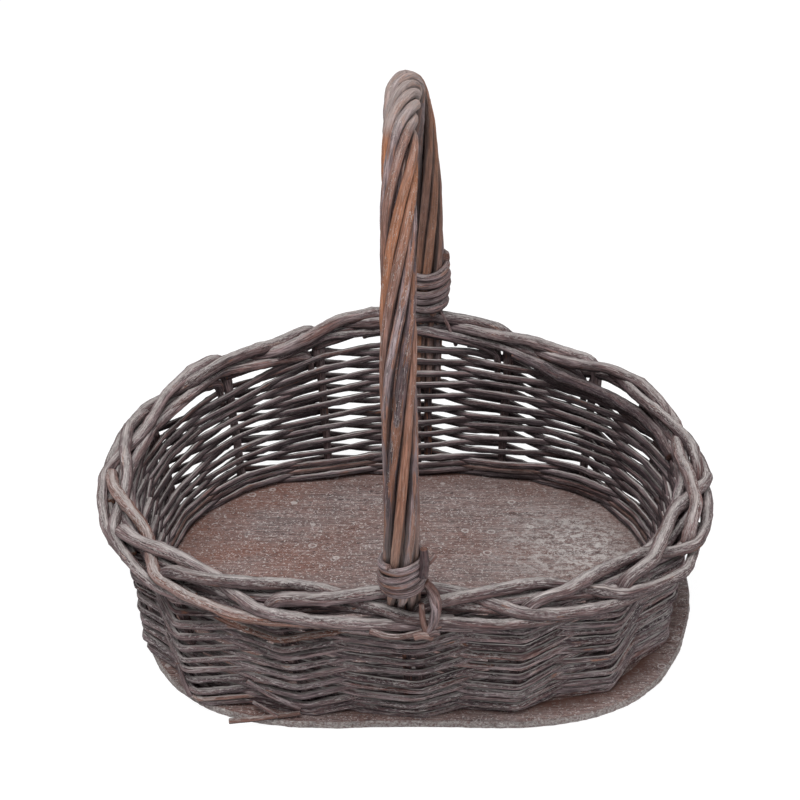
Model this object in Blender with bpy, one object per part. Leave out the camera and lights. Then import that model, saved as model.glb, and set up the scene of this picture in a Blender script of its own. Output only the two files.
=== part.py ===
"""Oval wicker basket with a fixed bow handle over its short way.

Origin at the middle of the underside, +X along the length, +Y to the back, +Z up, in metres.
Every rod of the basket is a body of its own: stakes standing in a plywood base board, pairs of
weavers worked round them, the stake tops laid down as a rolled border, and a bow handle of a core
wrapped in twisted rods and bound at both feet.
"""

import math

import bmesh
import bpy
from mathutils import Vector

GAP = 0.0003

# Base board: a plywood oval that stands out beyond the weave all round.
BOARD_RIGHT_HALF_LENGTH = 0.1625
BOARD_LEFT_HALF_LENGTH = 0.1590
BOARD_HALF_WIDTH = 0.1225
BOARD_SQUARENESS = 2.82
BOARD_THICKNESS = 0.005
BOARD_CENTRE_X = 0.003
BOARD_OUTLINE_POINTS = 64
STAKE_HOLE_RADIUS = 0.0031
STAKE_HOLE_POINTS = 8

# Middle surface of the wall, given by its outline at the board and its outline at the rim.
FOOT_HALF_LENGTH = 0.1483
FOOT_HALF_WIDTH = 0.10975
FOOT_SQUARENESS = 2.85
FOOT_FRONT_LEFT_FULLNESS = 0.45
FOOT_CENTRE_X = 0.003
FOOT_CENTRE_Y = -0.00075
RIM_HALF_LENGTH = 0.1680
RIM_HALF_WIDTH = 0.1315
RIM_SQUARENESS = 2.13
RIM_CENTRE_X = -0.0007
RIM_LEVEL = 0.095

# The rim climbs from the two ends to the middle of each long side.
END_RIM_HEIGHT = 0.0875
SIDE_RIM_HEIGHT = 0.1015
RIM_CLIMB_POWER = 7.0
OUTLINE_STEPS = 2880
SLOPE_STEP = 0.004

# Stakes
STAKE_COUNT = 16
FRONT_STAKE_X = 0.009
BACK_STAKE_X = 0.010
STAKE_RADIUS = 0.0025
STAKE_FOOT_HEIGHT = 0.0003
ROD_SIDES = 6
BORDER_ROD_RADIUS = 0.0029
BORDER_TIP_RADIUS = 0.0024
TAPERED_POINTS = 3
STAKE_BEND_DROP = 0.009
STAKE_BEND_RISE = 0.0054

# Weavers
ROW_COUNT = 11
WEAVER_RADIUS = 0.0015
WEAVER_OFFSET = STAKE_RADIUS + WEAVER_RADIUS + GAP
WEAVER_CROSSING_RISE = WEAVER_RADIUS + GAP / 2
WEAVER_SIDES = 4
FIRST_ROW_CLEARANCE = 0.0005
TOP_ROW_DROP = 0.0123

# Bow handle
HANDLE_HALF_SPAN = 0.1385
HANDLE_RISE = 0.1715
HANDLE_SPRING_HEIGHT = 0.150
HANDLE_STAKE_DISTANCE = 0.0066
HANDLE_TOP_X = -0.0035
HANDLE_SWAY = 0.002
HANDLE_INSET = 0.0008
CORE_FOOT_HEIGHT = 0.016
CORE_FOOT_RADIUS = 0.0026
CORE_RADIUS = 0.0052
CORE_TAPER_LENGTH = 0.008
CORE_STEPS = 28
CORE_BELOW_RIM = 0.002
STRAND_COUNT = 10
STRAND_RADIUS = 0.0022
STRAND_RING_RADIUS = 0.0081
STRAND_SPLAY_RADIUS = 0.0097
STRAND_PITCH = 0.170
STRAND_STEPS = 44
STRAND_SPLAY_LENGTH = 0.030
STRAND_START_ABOVE_RIM = 0.0125

# Bindings at the feet of the handle
BINDING_RADIUS = 0.0019
BINDING_RING_RADIUS = 0.0144
BINDING_TURNS = 5.5
BINDING_POINTS_PER_TURN = 24
BINDING_RISE_PER_TURN = 2 * BINDING_RADIUS + 0.0008
BINDING_START = 0.0025

# Weathered colours, linear
WOOD_BOARD = (0.215, 0.155, 0.140, 1.0)
WOOD_STAKE = (0.125, 0.098, 0.096, 1.0)
WOOD_WEAVER = (0.105, 0.084, 0.084, 1.0)
WOOD_STRAND = (0.190, 0.110, 0.088, 1.0)
WOOD_CORE = (0.120, 0.088, 0.080, 1.0)
WOOD_BINDING = (0.150, 0.120, 0.112, 1.0)

# Path of a stake top along the border: spacings travelled, outward offset, rise from the rim line.
BORDER_PATH = (
    (0.12, -0.0004, 0.0002),
    (0.25, -0.0014, 0.0000),
    (0.50, -0.0039, -0.0009),
    (0.75, -0.0062, -0.0024),
    (1.00, -0.0074, -0.0032),
    (1.25, -0.0074, 0.0029),
    (1.38, -0.0050, 0.0068),
    (1.50, -0.0014, 0.0086),
    (1.75, 0.0058, 0.0076),
    (2.00, 0.0082, 0.0036),
    (2.25, 0.0090, 0.0006),
    (2.50, 0.0094, -0.0026),
    (3.00, 0.0096, -0.0066),
    (3.40, 0.0096, -0.0095),
)


def superellipse(half_length, half_width, squareness, angle):
    c = math.cos(angle)
    s = math.sin(angle)
    x = math.copysign(half_length * abs(c) ** (2.0 / squareness), c)
    y = math.copysign(half_width * abs(s) ** (2.0 / squareness), s)
    return x, y


def blend(a, b, t):
    return a + (b - a) * t


def blend_points(a, b, t):
    return (blend(a[0], b[0], t), blend(a[1], b[1], t))


class Outline:
    """A superellipse walked from the middle of the front, by share of its whole length.

    Fullness makes its front left corner squarer than the others.
    """

    def __init__(self, half_length, half_width, squareness, fullness, centre_x, centre_y):
        turn = 2 * math.pi / OUTLINE_STEPS
        self.angles = [turn * i - math.pi / 2 for i in range(OUTLINE_STEPS + 1)]
        self.points = []
        for angle in self.angles:
            front_left = 2 * max(0.0, -math.cos(angle)) * max(0.0, -math.sin(angle))
            corner = squareness + fullness * front_left
            x, y = superellipse(half_length, half_width, corner, angle)
            self.points.append((x + centre_x, y + centre_y))
        self.walked = [0.0]
        for a, b in zip(self.points, self.points[1:]):
            self.walked.append(self.walked[-1] + math.dist(a, b))
        self.length = self.walked[-1]

    def place(self, share):
        """Point and angle of the outline at this share of its length."""
        rest = (share - math.floor(share)) * self.length
        low = 0
        high = len(self.walked) - 1
        while high - low > 1:
            middle = (low + high) // 2
            if self.walked[middle] <= rest:
                low = middle
            else:
                high = middle
        t = (rest - self.walked[low]) / (self.walked[high] - self.walked[low])
        point = blend_points(self.points[low], self.points[high], t)
        return point, blend(self.angles[low], self.angles[high], t)


FOOT = Outline(
    FOOT_HALF_LENGTH,
    FOOT_HALF_WIDTH,
    FOOT_SQUARENESS,
    FOOT_FRONT_LEFT_FULLNESS,
    FOOT_CENTRE_X,
    FOOT_CENTRE_Y,
)
RIM = Outline(RIM_HALF_LENGTH, RIM_HALF_WIDTH, RIM_SQUARENESS, 0.0, RIM_CENTRE_X, 0.0)


def rim_height(share):
    climb = abs(math.sin(RIM.place(share)[1])) ** RIM_CLIMB_POWER
    return blend(END_RIM_HEIGHT, SIDE_RIM_HEIGHT, climb)


def wall_point(share, height):
    """Point of the wall's middle surface; straight lines join the foot to the rim."""
    t = max(0.0, (height - BOARD_THICKNESS) / (RIM_LEVEL - BOARD_THICKNESS))
    x, y = blend_points(FOOT.place(share)[0], RIM.place(share)[0], t)
    return Vector((x, y, height))


def wall_frame(share, height):
    """Point on the wall, with the wall's outward normal and its level outward direction."""
    here = wall_point(share, height)
    ahead = wall_point(share + SLOPE_STEP / FOOT.length, height)
    behind = wall_point(share - SLOPE_STEP / FOOT.length, height)
    above = wall_point(share, height + SLOPE_STEP)
    along = (ahead - behind).normalized()
    up = (above - here).normalized()
    normal = along.cross(up).normalized()
    level = Vector((along.y, -along.x, 0.0)).normalized()
    return here, normal, level


def stake_shares():
    """Share of the wall's length at each stake, the middle front stake first."""
    front = (FRONT_STAKE_X - FOOT_CENTRE_X) / FOOT.length
    back = 0.5 - (BACK_STAKE_X - FOOT_CENTRE_X) / FOOT.length
    half = STAKE_COUNT // 2
    places = [blend(front, back, k / half) for k in range(half)]
    places += [blend(back, front + 1.0, k / half) for k in range(half)]
    return places


STAKES = stake_shares()
HANDLE_STEP = HANDLE_STAKE_DISTANCE / FOOT.length


def stake_place(position):
    """Share of the wall's length at a position counted in stakes."""
    whole = math.floor(position)
    turns, index = divmod(whole, STAKE_COUNT)
    here = STAKES[index] + turns
    turns_next, index_next = divmod(whole + 1, STAKE_COUNT)
    there = STAKES[index_next] + turns_next
    return blend(here, there, position - whole)


def make_material(name, colour, roughness):
    material = bpy.data.materials.new(name)
    material.use_nodes = True
    shader = material.node_tree.nodes["Principled BSDF"]
    shader.inputs["Base Color"].default_value = colour
    shader.inputs["Roughness"].default_value = roughness
    shader.inputs["Metallic"].default_value = 0.0
    return material


def make_rod(name, points, radii, sides, closed, colour, collection):
    """A round rod along the points, each with its own radius; sides is 4, 6 or 8."""
    curve = bpy.data.curves.new(name, "CURVE")
    curve.dimensions = "3D"
    curve.bevel_mode = "ROUND"
    curve.bevel_depth = 1.0
    curve.bevel_resolution = (sides - 4) // 2
    curve.use_fill_caps = True
    curve.twist_mode = "MINIMUM"
    spline = curve.splines.new("POLY")
    spline.points.add(len(points) - 1)
    for point, place, radius in zip(spline.points, points, radii):
        point.co = (place.x, place.y, place.z, 1.0)
        point.radius = radius
    spline.use_cyclic_u = closed
    curve.materials.append(make_material(name + "_wood", colour, 0.8))
    rod = bpy.data.objects.new(name, curve)
    collection.objects.link(rod)
    return rod


def make_board(collection):
    """The base board, cut from a flat outline with one hole for each stake."""
    curve = bpy.data.curves.new("base_board_outline", "CURVE")
    curve.dimensions = "2D"
    curve.fill_mode = "BOTH"
    curve.extrude = BOARD_THICKNESS / 2
    rim = curve.splines.new("POLY")
    rim.points.add(BOARD_OUTLINE_POINTS - 1)
    for i, point in enumerate(rim.points):
        angle = 2 * math.pi * (i + 0.5) / BOARD_OUTLINE_POINTS
        right = math.cos(angle) > 0.0
        half_length = BOARD_RIGHT_HALF_LENGTH if right else BOARD_LEFT_HALF_LENGTH
        x, y = superellipse(half_length, BOARD_HALF_WIDTH, BOARD_SQUARENESS, angle)
        point.co = (x + BOARD_CENTRE_X, y, 0.0, 1.0)
    rim.use_cyclic_u = True
    for place in STAKES:
        centre = wall_point(place, BOARD_THICKNESS)
        hole = curve.splines.new("POLY")
        hole.points.add(STAKE_HOLE_POINTS - 1)
        for i, point in enumerate(hole.points):
            angle = 2 * math.pi * i / STAKE_HOLE_POINTS
            x = centre.x + STAKE_HOLE_RADIUS * math.cos(angle)
            y = centre.y + STAKE_HOLE_RADIUS * math.sin(angle)
            point.co = (x, y, 0.0, 1.0)
        hole.use_cyclic_u = True
    outline = bpy.data.objects.new("base_board_outline", curve)
    bpy.context.scene.collection.objects.link(outline)
    bpy.context.view_layer.update()
    evaluated = outline.evaluated_get(bpy.context.evaluated_depsgraph_get())
    mesh = bpy.data.meshes.new_from_object(evaluated)
    mesh.name = "base_board"
    bpy.data.objects.remove(outline)
    bpy.data.curves.remove(curve)
    work = bmesh.new()
    work.from_mesh(mesh)
    bmesh.ops.remove_doubles(work, verts=work.verts, dist=0.00001)
    bmesh.ops.recalc_face_normals(work, faces=work.faces)
    work.to_mesh(mesh)
    work.free()
    mesh.materials.clear()
    mesh.materials.append(make_material("base_board_wood", WOOD_BOARD, 0.75))
    board = bpy.data.objects.new("base_board", mesh)
    board.location = (0.0, 0.0, BOARD_THICKNESS / 2)
    collection.objects.link(board)
    return board


def make_stake(index, collection):
    """One stake: up from the board through the weave, then along the border to its tip."""
    place = STAKES[index]
    top = rim_height(place)
    bend = top - STAKE_BEND_DROP
    points = []
    radii = []
    levels = [STAKE_FOOT_HEIGHT, BOARD_THICKNESS, BOARD_THICKNESS + (bend - BOARD_THICKNESS) * 0.5]
    for level in levels:
        points.append(wall_point(place, level))
        radii.append(STAKE_RADIUS)
    points.append(wall_point(place, bend))
    radii.append(STAKE_RADIUS)
    points.append(wall_point(place, bend + STAKE_BEND_RISE))
    radii.append(BORDER_ROD_RADIUS)
    for i, (travel, outward, rise) in enumerate(BORDER_PATH):
        share = stake_place(index + travel)
        here, normal, level = wall_frame(share, rim_height(share))
        points.append(here + level * outward + Vector((0.0, 0.0, rise)))
        to_tip = max(0.0, 1.0 - (len(BORDER_PATH) - 1 - i) / TAPERED_POINTS)
        radii.append(blend(BORDER_ROD_RADIUS, BORDER_TIP_RADIUS, to_tip))
    name = f"side_stake_{index + 1:02d}"
    return make_rod(name, points, radii, ROD_SIDES, False, WOOD_STAKE, collection)


def row_height(row, share):
    first = BOARD_THICKNESS + WEAVER_RADIUS + WEAVER_CROSSING_RISE + FIRST_ROW_CLEARANCE
    last = rim_height(share) - TOP_ROW_DROP
    return blend(first, last, row / (ROW_COUNT - 1))


def make_weaver(row, partner, collection):
    """One closed ring of weaver: outside every second stake and inside those between.

    Its partner takes the other stakes, and the two cross midway between stakes. The weaver that
    comes from the outside of a stake crosses over the other.
    """
    points = []
    for index in range(STAKE_COUNT):
        outside = (index + row + partner) % 2 == 0
        side = 1.0 if outside else -1.0
        handle_here = index in (0, STAKE_COUNT // 2)
        if handle_here:
            stops = [STAKES[index] - HANDLE_STEP, STAKES[index]]
        else:
            stops = [STAKES[index]]
        for share in stops:
            here, normal, level = wall_frame(share, row_height(row, share))
            points.append(here + normal * (side * WEAVER_OFFSET))
        crossing = stake_place(index + 0.5)
        if index in (STAKE_COUNT // 2 - 1, STAKE_COUNT - 1):
            crossing -= HANDLE_STEP / 2
        rise = WEAVER_CROSSING_RISE * side
        points.append(wall_point(crossing, row_height(row, crossing) + rise))
    letter = "ab"[partner]
    name = f"weaver_{row + 1:02d}_{letter}"
    radii = [WEAVER_RADIUS] * len(points)
    return make_rod(name, points, radii, WEAVER_SIDES, True, WOOD_WEAVER, collection)


def handle_feet():
    """Places of the handle's front and back feet at the height of the rim."""
    feet = []
    for index in (0, STAKE_COUNT // 2):
        here, normal, level = wall_frame(STAKES[index] - HANDLE_STEP, SIDE_RIM_HEIGHT)
        feet.append(here - level * HANDLE_INSET)
    return feet


FRONT_FOOT, BACK_FOOT = handle_feet()


def bow_point(turn):
    """Point of the bow's centre line; turn runs from 0 at the front rim to 1 at the back rim."""
    start = math.asin((SIDE_RIM_HEIGHT - HANDLE_SPRING_HEIGHT) / HANDLE_RISE)
    angle = blend(start, math.pi - start, turn)
    reach = math.cos(start) * HANDLE_HALF_SPAN
    y = -HANDLE_HALF_SPAN * math.cos(angle)
    front_shift = FRONT_FOOT.y + reach
    back_shift = BACK_FOOT.y - reach
    y += blend(front_shift, back_shift, turn)
    z = HANDLE_SPRING_HEIGHT + HANDLE_RISE * math.sin(angle)
    if turn < 0.5:
        x = blend(FRONT_FOOT.x, HANDLE_TOP_X, math.sin(math.pi * turn) ** 2)
    else:
        x = blend(BACK_FOOT.x, HANDLE_TOP_X, math.sin(math.pi * turn) ** 2)
    x -= HANDLE_SWAY * math.sin(2 * math.pi * turn)
    return Vector((x, y, z))


class BowMap:
    """Centre line of the bow measured by distance, with a frame that keeps one side to +X."""

    def __init__(self):
        self.samples = [bow_point(i / 1200) for i in range(1201)]
        self.walked = [0.0]
        for a, b in zip(self.samples, self.samples[1:]):
            self.walked.append(self.walked[-1] + (b - a).length)
        self.length = self.walked[-1]

    def frame(self, distance):
        low = 0
        high = len(self.walked) - 1
        while high - low > 1:
            middle = (low + high) // 2
            if self.walked[middle] <= distance:
                low = middle
            else:
                high = middle
        span = self.walked[high] - self.walked[low]
        t = (distance - self.walked[low]) / span
        here = self.samples[low].lerp(self.samples[high], t)
        before = self.samples[max(0, low - 3)]
        after = self.samples[min(len(self.samples) - 1, high + 3)]
        tangent = (after - before).normalized()
        side = Vector((1.0, 0.0, 0.0))
        side = (side - tangent * side.dot(tangent)).normalized()
        other = tangent.cross(side)
        return here, side, other


BOW = BowMap()


def core_foot(share):
    """Points of the core's thin end, from its tip in the weave up to below the rim."""
    points = []
    for level in (CORE_FOOT_HEIGHT, SIDE_RIM_HEIGHT * 0.5, SIDE_RIM_HEIGHT - CORE_BELOW_RIM):
        points.append(wall_point(share, level))
    return points


def make_core(collection):
    """The bow's core: one stick with both thinned ends pushed down into the weave."""
    points = core_foot(STAKES[0] - HANDLE_STEP)
    radii = [CORE_FOOT_RADIUS] * 3
    shoulder = STRAND_START_ABOVE_RIM
    points.append(BOW.frame(shoulder)[0])
    radii.append(CORE_FOOT_RADIUS)
    first = shoulder + CORE_TAPER_LENGTH
    for i in range(CORE_STEPS + 1):
        distance = blend(first, BOW.length - first, i / CORE_STEPS)
        points.append(BOW.frame(distance)[0])
        radii.append(CORE_RADIUS)
    points.append(BOW.frame(BOW.length - shoulder)[0])
    radii.append(CORE_FOOT_RADIUS)
    points += reversed(core_foot(STAKES[STAKE_COUNT // 2] - HANDLE_STEP))
    radii += [CORE_FOOT_RADIUS] * 3
    return make_rod("handle_core", points, radii, ROD_SIDES, False, WOOD_CORE, collection)


def strand_ring_radius(distance):
    """Strands lie close on the core and splay a little inside the bindings."""
    near = min(distance, BOW.length - distance)
    splay = BINDING_START + BINDING_TURNS * BINDING_RISE_PER_TURN + STRAND_START_ABOVE_RIM
    t = min(1.0, max(0.0, (near - splay) / STRAND_SPLAY_LENGTH))
    return blend(STRAND_SPLAY_RADIUS, STRAND_RING_RADIUS, t)


def make_strand(index, collection):
    points = []
    for i in range(STRAND_STEPS + 1):
        start = STRAND_START_ABOVE_RIM
        distance = blend(start, BOW.length - start, i / STRAND_STEPS)
        here, side, other = BOW.frame(distance)
        angle = 2 * math.pi * (index / STRAND_COUNT + distance / STRAND_PITCH)
        ring = strand_ring_radius(distance)
        points.append(here + (side * math.cos(angle) + other * math.sin(angle)) * ring)
    name = f"handle_strand_{index + 1:02d}"
    radii = [STRAND_RADIUS] * len(points)
    return make_rod(name, points, radii, ROD_SIDES, False, WOOD_STRAND, collection)


def least_gap_between_turns(points, per_turn, radius):
    """Least clear distance between points of a coil that are more than half a turn apart."""
    least = math.inf
    for i, a in enumerate(points):
        for b in points[i + per_turn // 2:]:
            least = min(least, (a - b).length - 2 * radius)
    return least


def make_binding(name, at_front, collection):
    """A rod wound round the foot of the handle in one unbroken coil."""
    points = []
    count = int(BINDING_TURNS * BINDING_POINTS_PER_TURN)
    for i in range(count + 1):
        turns = i / BINDING_POINTS_PER_TURN
        distance = STRAND_START_ABOVE_RIM + BINDING_START + turns * BINDING_RISE_PER_TURN
        if not at_front:
            distance = BOW.length - distance
        here, side, other = BOW.frame(distance)
        angle = 2 * math.pi * turns
        around = side * math.cos(angle) + other * math.sin(angle)
        points.append(here + around * BINDING_RING_RADIUS)
    gap = least_gap_between_turns(points, BINDING_POINTS_PER_TURN, BINDING_RADIUS)
    print(f"{name}: least gap between turns {gap * 1000:.2f} mm")
    radii = [BINDING_RADIUS] * len(points)
    return make_rod(name, points, radii, ROD_SIDES, False, WOOD_BINDING, collection)


def main():
    for item in list(bpy.data.objects):
        bpy.data.objects.remove(item)
    collection = bpy.data.collections.new("oval_wicker_basket")
    bpy.context.scene.collection.children.link(collection)
    make_board(collection)
    for index in range(STAKE_COUNT):
        make_stake(index, collection)
    for row in range(ROW_COUNT):
        make_weaver(row, 0, collection)
        make_weaver(row, 1, collection)
    make_core(collection)
    for index in range(STRAND_COUNT):
        make_strand(index, collection)
    make_binding("binding_front", True, collection)
    make_binding("binding_back", False, collection)


main()
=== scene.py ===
"""Oval wicker basket: the woven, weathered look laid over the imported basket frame."""

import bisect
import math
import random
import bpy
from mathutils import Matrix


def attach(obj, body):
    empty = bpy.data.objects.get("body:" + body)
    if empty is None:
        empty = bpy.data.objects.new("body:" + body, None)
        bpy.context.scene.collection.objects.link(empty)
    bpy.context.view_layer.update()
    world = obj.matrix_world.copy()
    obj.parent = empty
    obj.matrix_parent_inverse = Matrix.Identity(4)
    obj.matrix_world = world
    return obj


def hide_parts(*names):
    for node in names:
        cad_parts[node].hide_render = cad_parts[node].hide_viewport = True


bl_info = {
    "name": "Oval Wicker Basket",
    "version": (1, 0, 0),
    "blender": (4, 5, 0),
    "location": "3D View > Sidebar > Basket",
    "description": "Builds a weathered willow basket rod by rod over its frame",
    "category": "Object",
}

import bmesh
import bpy
from bpy.props import FloatProperty, FloatVectorProperty, IntProperty, PointerProperty
from mathutils import Vector, noise

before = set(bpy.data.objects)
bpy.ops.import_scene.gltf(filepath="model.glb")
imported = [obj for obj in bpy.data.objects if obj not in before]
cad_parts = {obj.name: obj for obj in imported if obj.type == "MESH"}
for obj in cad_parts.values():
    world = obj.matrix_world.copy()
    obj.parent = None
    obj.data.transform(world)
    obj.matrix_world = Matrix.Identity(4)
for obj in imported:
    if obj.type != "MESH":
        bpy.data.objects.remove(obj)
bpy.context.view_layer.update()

MM = 0.001


def linear(hex_colour):
    """A colour written as sRGB hex, as the linear colour that shaders take."""
    channels = []
    for shift in (16, 8, 0):
        value = ((hex_colour >> shift) & 255) / 255.0
        if value <= 0.04045:
            channels.append(value / 12.92)
        else:
            channels.append(((value + 0.055) / 1.055) ** 2.4)
    return (channels[0], channels[1], channels[2], 1.0)


def blend(a, b, t):
    """From a, at t = 0, to b, at t = 1."""
    return a + (b - a) * t


def ease(t):
    """From 0 to 1 with a soft start and end."""
    t = min(1.0, max(0.0, t))
    return t * t * (3.0 - 2.0 * t)


def noise_at(x, y, z):
    """Smooth noise at a place, mostly between -0.5 and 0.5."""
    return noise.noise(Vector((x, y, z)))


def within(distance, stretch):
    """1 inside a stretch, 0 outside it: the stretch begins, is full, fades and ends."""
    begin, full, fade, end = stretch
    risen = ease((distance - begin) / (full - begin))
    return risen * (1.0 - ease((distance - fade) / (end - fade)))


def nearness(share, place, spread):
    """1 at a place round the basket, and less away from it."""
    return math.exp(-((share % 1.0 - place) / spread) ** 2)


# Sizes and colours that a user would change


def length(name, description, default):
    """A size in metres."""
    return FloatProperty(name=name, description=description, default=default, unit="LENGTH")


def colour(name, description, hex_colour):
    """A colour given as sRGB hex."""
    return FloatVectorProperty(
        name=name, description=description, default=linear(hex_colour), size=4, subtype="COLOR")


class BasketWallSizes(bpy.types.PropertyGroup):
    foot_half_length: length("Foot Half Length", "Half the wall's length at the board", 0.1483)
    foot_half_width: length("Foot Half Width", "Half the wall's width at the board", 0.10975)
    rim_half_length: length("Rim Half Length", "Half the wall's length at the rim", 0.1677)
    rim_half_width: length("Rim Half Width", "Half the wall's width at the rim", 0.1315)
    end_rim_height: length("End Rim Height", "Height of the border's middle at the ends", 0.0875)
    side_rim_height: length(
        "Side Rim Height", "Height of the border's middle at the handle", 0.1015)
    rows: IntProperty(name="Rows", description="Rows of paired weavers", default=12, min=6)
    weaver_radius: length("Weaver Radius", "Radius of a weaver at its middle", 0.0020)
    stake_radius: length("Stake Radius", "Radius of a stake inside the weave", 0.0026)
    border_radius: length(
        "Border Rod Radius", "Radius of a stake where it runs in the border", 0.0037)


class BasketBoardSizes(bpy.types.PropertyGroup):
    right_half_length: length(
        "Right Half Length", "From the board's middle to its right end", 0.1640)
    left_half_length: length("Left Half Length", "From the board's middle to its left end", 0.1590)
    half_width: length("Half Width", "Half the board's width", 0.1225)
    thickness: length("Thickness", "Thickness of the plywood", 0.005)


class BasketHandleSizes(bpy.types.PropertyGroup):
    half_span: length("Half Span", "Half the bow's width at its widest", 0.1385)
    rise: length("Rise", "Rise of the bow above its widest place", 0.1715)
    strand_radius: length("Strand Radius", "Radius of a twisted rod", 0.0022)
    foot_pitch: length("Foot Pitch", "Length of one turn of the rods near the feet", 0.400)
    arm_pitch: length(
        "Arm Pitch", "Length of one turn of the rods high on the front arm", 0.200)
    grip_pitch: length("Grip Pitch", "Length of one turn of the rods at the grip", 0.115)


class BasketColours(bpy.types.PropertyGroup):
    bark_dark: colour("Dark Bark", "Weathered bark in its darkest rods", 0x54464A)
    bark_light: colour("Light Bark", "Weathered bark in its palest rods", 0xA29092)
    bark_red: colour("Red Bark", "Bark where it kept its red brown", 0x83605A)
    bare_wood: colour("Bare Wood", "Willow where the bark has worn off", 0xA66E4E)
    # Soot: dark dirt in splits and pores, and also the painted shade on rod undersides, inner faces
    # and crevices
    soot_and_shade: colour("Soot", "Old dirt in splits, in pores and on undersides", 0x2A2427)
    # Dust: pale dust on the grip and the bindings, and also painted light that makes the shaded
    # back arm of the handle paler
    dust_and_light: colour("Dust", "Pale dust on the grip and the bindings", 0xBFB0AA)
    # Whitewash: chalky wash in the grain of rods and board, and also the painted highlight on the
    # upper sides of rods
    whitewash_and_highlight: colour("Whitewash", "Chalky wash left in the grain", 0xCFC8C5)
    board: colour("Board", "Washed plywood of the base", 0x917A76)
    board_brown: colour("Brown Board", "Plywood where it is stained", 0x80584C)


class BasketSettings(bpy.types.PropertyGroup):
    wall: PointerProperty(type=BasketWallSizes)
    board: PointerProperty(type=BasketBoardSizes)
    handle: PointerProperty(type=BasketHandleSizes)
    colours: PointerProperty(type=BasketColours)


# The basket's own layout

FOOT_CENTRE = (0.003, -0.00075)
RIM_CENTRE = (-0.0007, 0.0)
FOOT_SQUARENESS = 2.85
FOOT_FULLNESS = 0.45
RIM_SQUARENESS = 2.13
RIM_LEVEL = 0.095
CLIMB_POWER = 7.0
BOARD_SQUARENESS = 2.82
BOARD_FRONT_SQUARENESS = 2.98
BOARD_WAVER = 0.015
BOARD_CENTRE_X = 0.003
STAKE_COUNT = 16
FRONT_STAKE_X = 0.009
BACK_STAKE_X = 0.010
HANDLE_STAKE_DISTANCE = 0.0066
SPRING_HEIGHT = 0.150
HANDLE_TOP_X = -0.0027
HANDLE_SWAY = 0.002
HANDLE_INSET = 0.0008
BOW_STEPS = 600
FIRST_ROW_HEIGHT = 0.0078
CLOSE_ROW_RISE = 0.0043
CLOSE_ROWS = 3
TOP_ROW_DROP = 0.0118
STRAND_COUNT = 10

# Along the bow from the front rim: where the rods' twist tightens and eases again on the front
# arm, and where it is tightest and worn, over the top. Each begins, is full, fades and ends.
ARM_TWIST = (0.110, 0.170, 0.360, 0.390)
GRIP = (0.262, 0.276, 0.345, 0.365)

# How far stakes lean round the basket as they rise, in stake spacings at the rim
STAKE_LEAN = {13: -0.15, 14: -0.42, 15: -0.30}
# How far weavers as a pair stand out of the wall's line, and how much one dips outside a stake:
# more along the front than along the back
STAKE_BULGE = -0.0001
STOP_DROP = 0.0019

# Places round the basket are shares of the way round, and a spread is a share of it too. Where the
# upper rows have slipped down from the border, and how far
ROW_SAGS = ((0.395, 0.0030), (0.648, 0.0085))
ROW_SAG_SPREAD = 0.035

# The weave bellies out at the front left corner, low down, almost to the board's edge
CORNER_BULGE_SHARE = 0.862
CORNER_BULGE_SPREAD = 0.052
CORNER_BULGE = 0.0085

# How far the border stands higher along the back, and its rises and dips: place and height
BACK_LIFT = 0.0030
BACK_SPREAD = 0.24
RIM_WAVE_SPREAD = 0.03
RIM_WAVES = (
    (0.348, 0.0062),
    (0.415, -0.0018),
    (0.540, 0.0026),
    (0.575, -0.0042),
    (0.635, 0.0055),
)

# Where the border's outer rods stand further out, and by what part of their offset
RIM_BULGE_SHARE = 0.170
RIM_BULGE_SPREAD = 0.025
RIM_BULGE = 0.6

# Stakes whose tops kept the colour of their bark: near 0 dark, over 0.8 red brown
BORDER_TONES = {
    0: 0.20, 1: 0.30, 2: 0.35, 3: 0.95, 4: 0.10, 6: 0.70, 8: 0.95, 9: 0.30, 12: 0.88, 14: 0.15,
}

# Thinner rods missing beside some stakes, 0 the middle one and 1 the inner one: the border is
# slight at both back corners
MISSING_RODS = {3: (1,), 4: (1,), 5: (0, 1), 8: (1,)}

# A stake top's way along the border: spacings travelled, outward offset, rise from the rim line.
# It bends outside, lies over the next one's back, passes under a newer one and ends outside.
BORDER_WAY = (
    (0.00, 0.0010, -0.0120),
    (0.00, 0.0032, -0.0030),
    (0.06, 0.0036, 0.0022),
    (0.40, 0.0018, 0.0044),
    (0.80, -0.0035, 0.0060),
    (1.15, -0.0068, 0.0050),
    (1.45, -0.0055, 0.0018),
    (1.70, 0.0010, -0.0008),
    (1.95, 0.0076, -0.0034),
    (2.30, 0.0086, -0.0060),
    (2.70, 0.0082, -0.0082),
    (3.00, 0.0076, -0.0096),
    (3.45, 0.0035, -0.0125),
)

# The same for the thinner rod beside it, in the border's middle
COMPANION_WAY = (
    (0.00, 0.0000, -0.0110),
    (0.10, -0.0010, -0.0055),
    (0.60, -0.0022, -0.0030),
    (1.20, -0.0012, -0.0020),
    (1.70, 0.0015, -0.0050),
    (2.20, 0.0030, -0.0085),
)

# The same for the rod on the border's inner face
INNER_WAY = (
    (0.00, -0.0030, -0.0110),
    (0.25, -0.0058, -0.0055),
    (1.00, -0.0064, -0.0018),
    (1.80, -0.0056, -0.0012),
    (2.40, -0.0048, -0.0040),
    (2.90, -0.0030, -0.0085),
)


def superellipse(half_length, half_width, squareness, angle):
    """Point of an oval: an ellipse at a squareness of 2, and fuller at the corners above it."""
    c = math.cos(angle)
    s = math.sin(angle)
    x = math.copysign(half_length * abs(c) ** (2.0 / squareness), c)
    y = math.copysign(half_width * abs(s) ** (2.0 / squareness), s)
    return x, y


def lengths_along(points):
    """Distance walked from the first point to each."""
    walked = [0.0]
    for a, b in zip(points, points[1:]):
        walked.append(walked[-1] + math.dist(a, b))
    return walked


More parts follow.
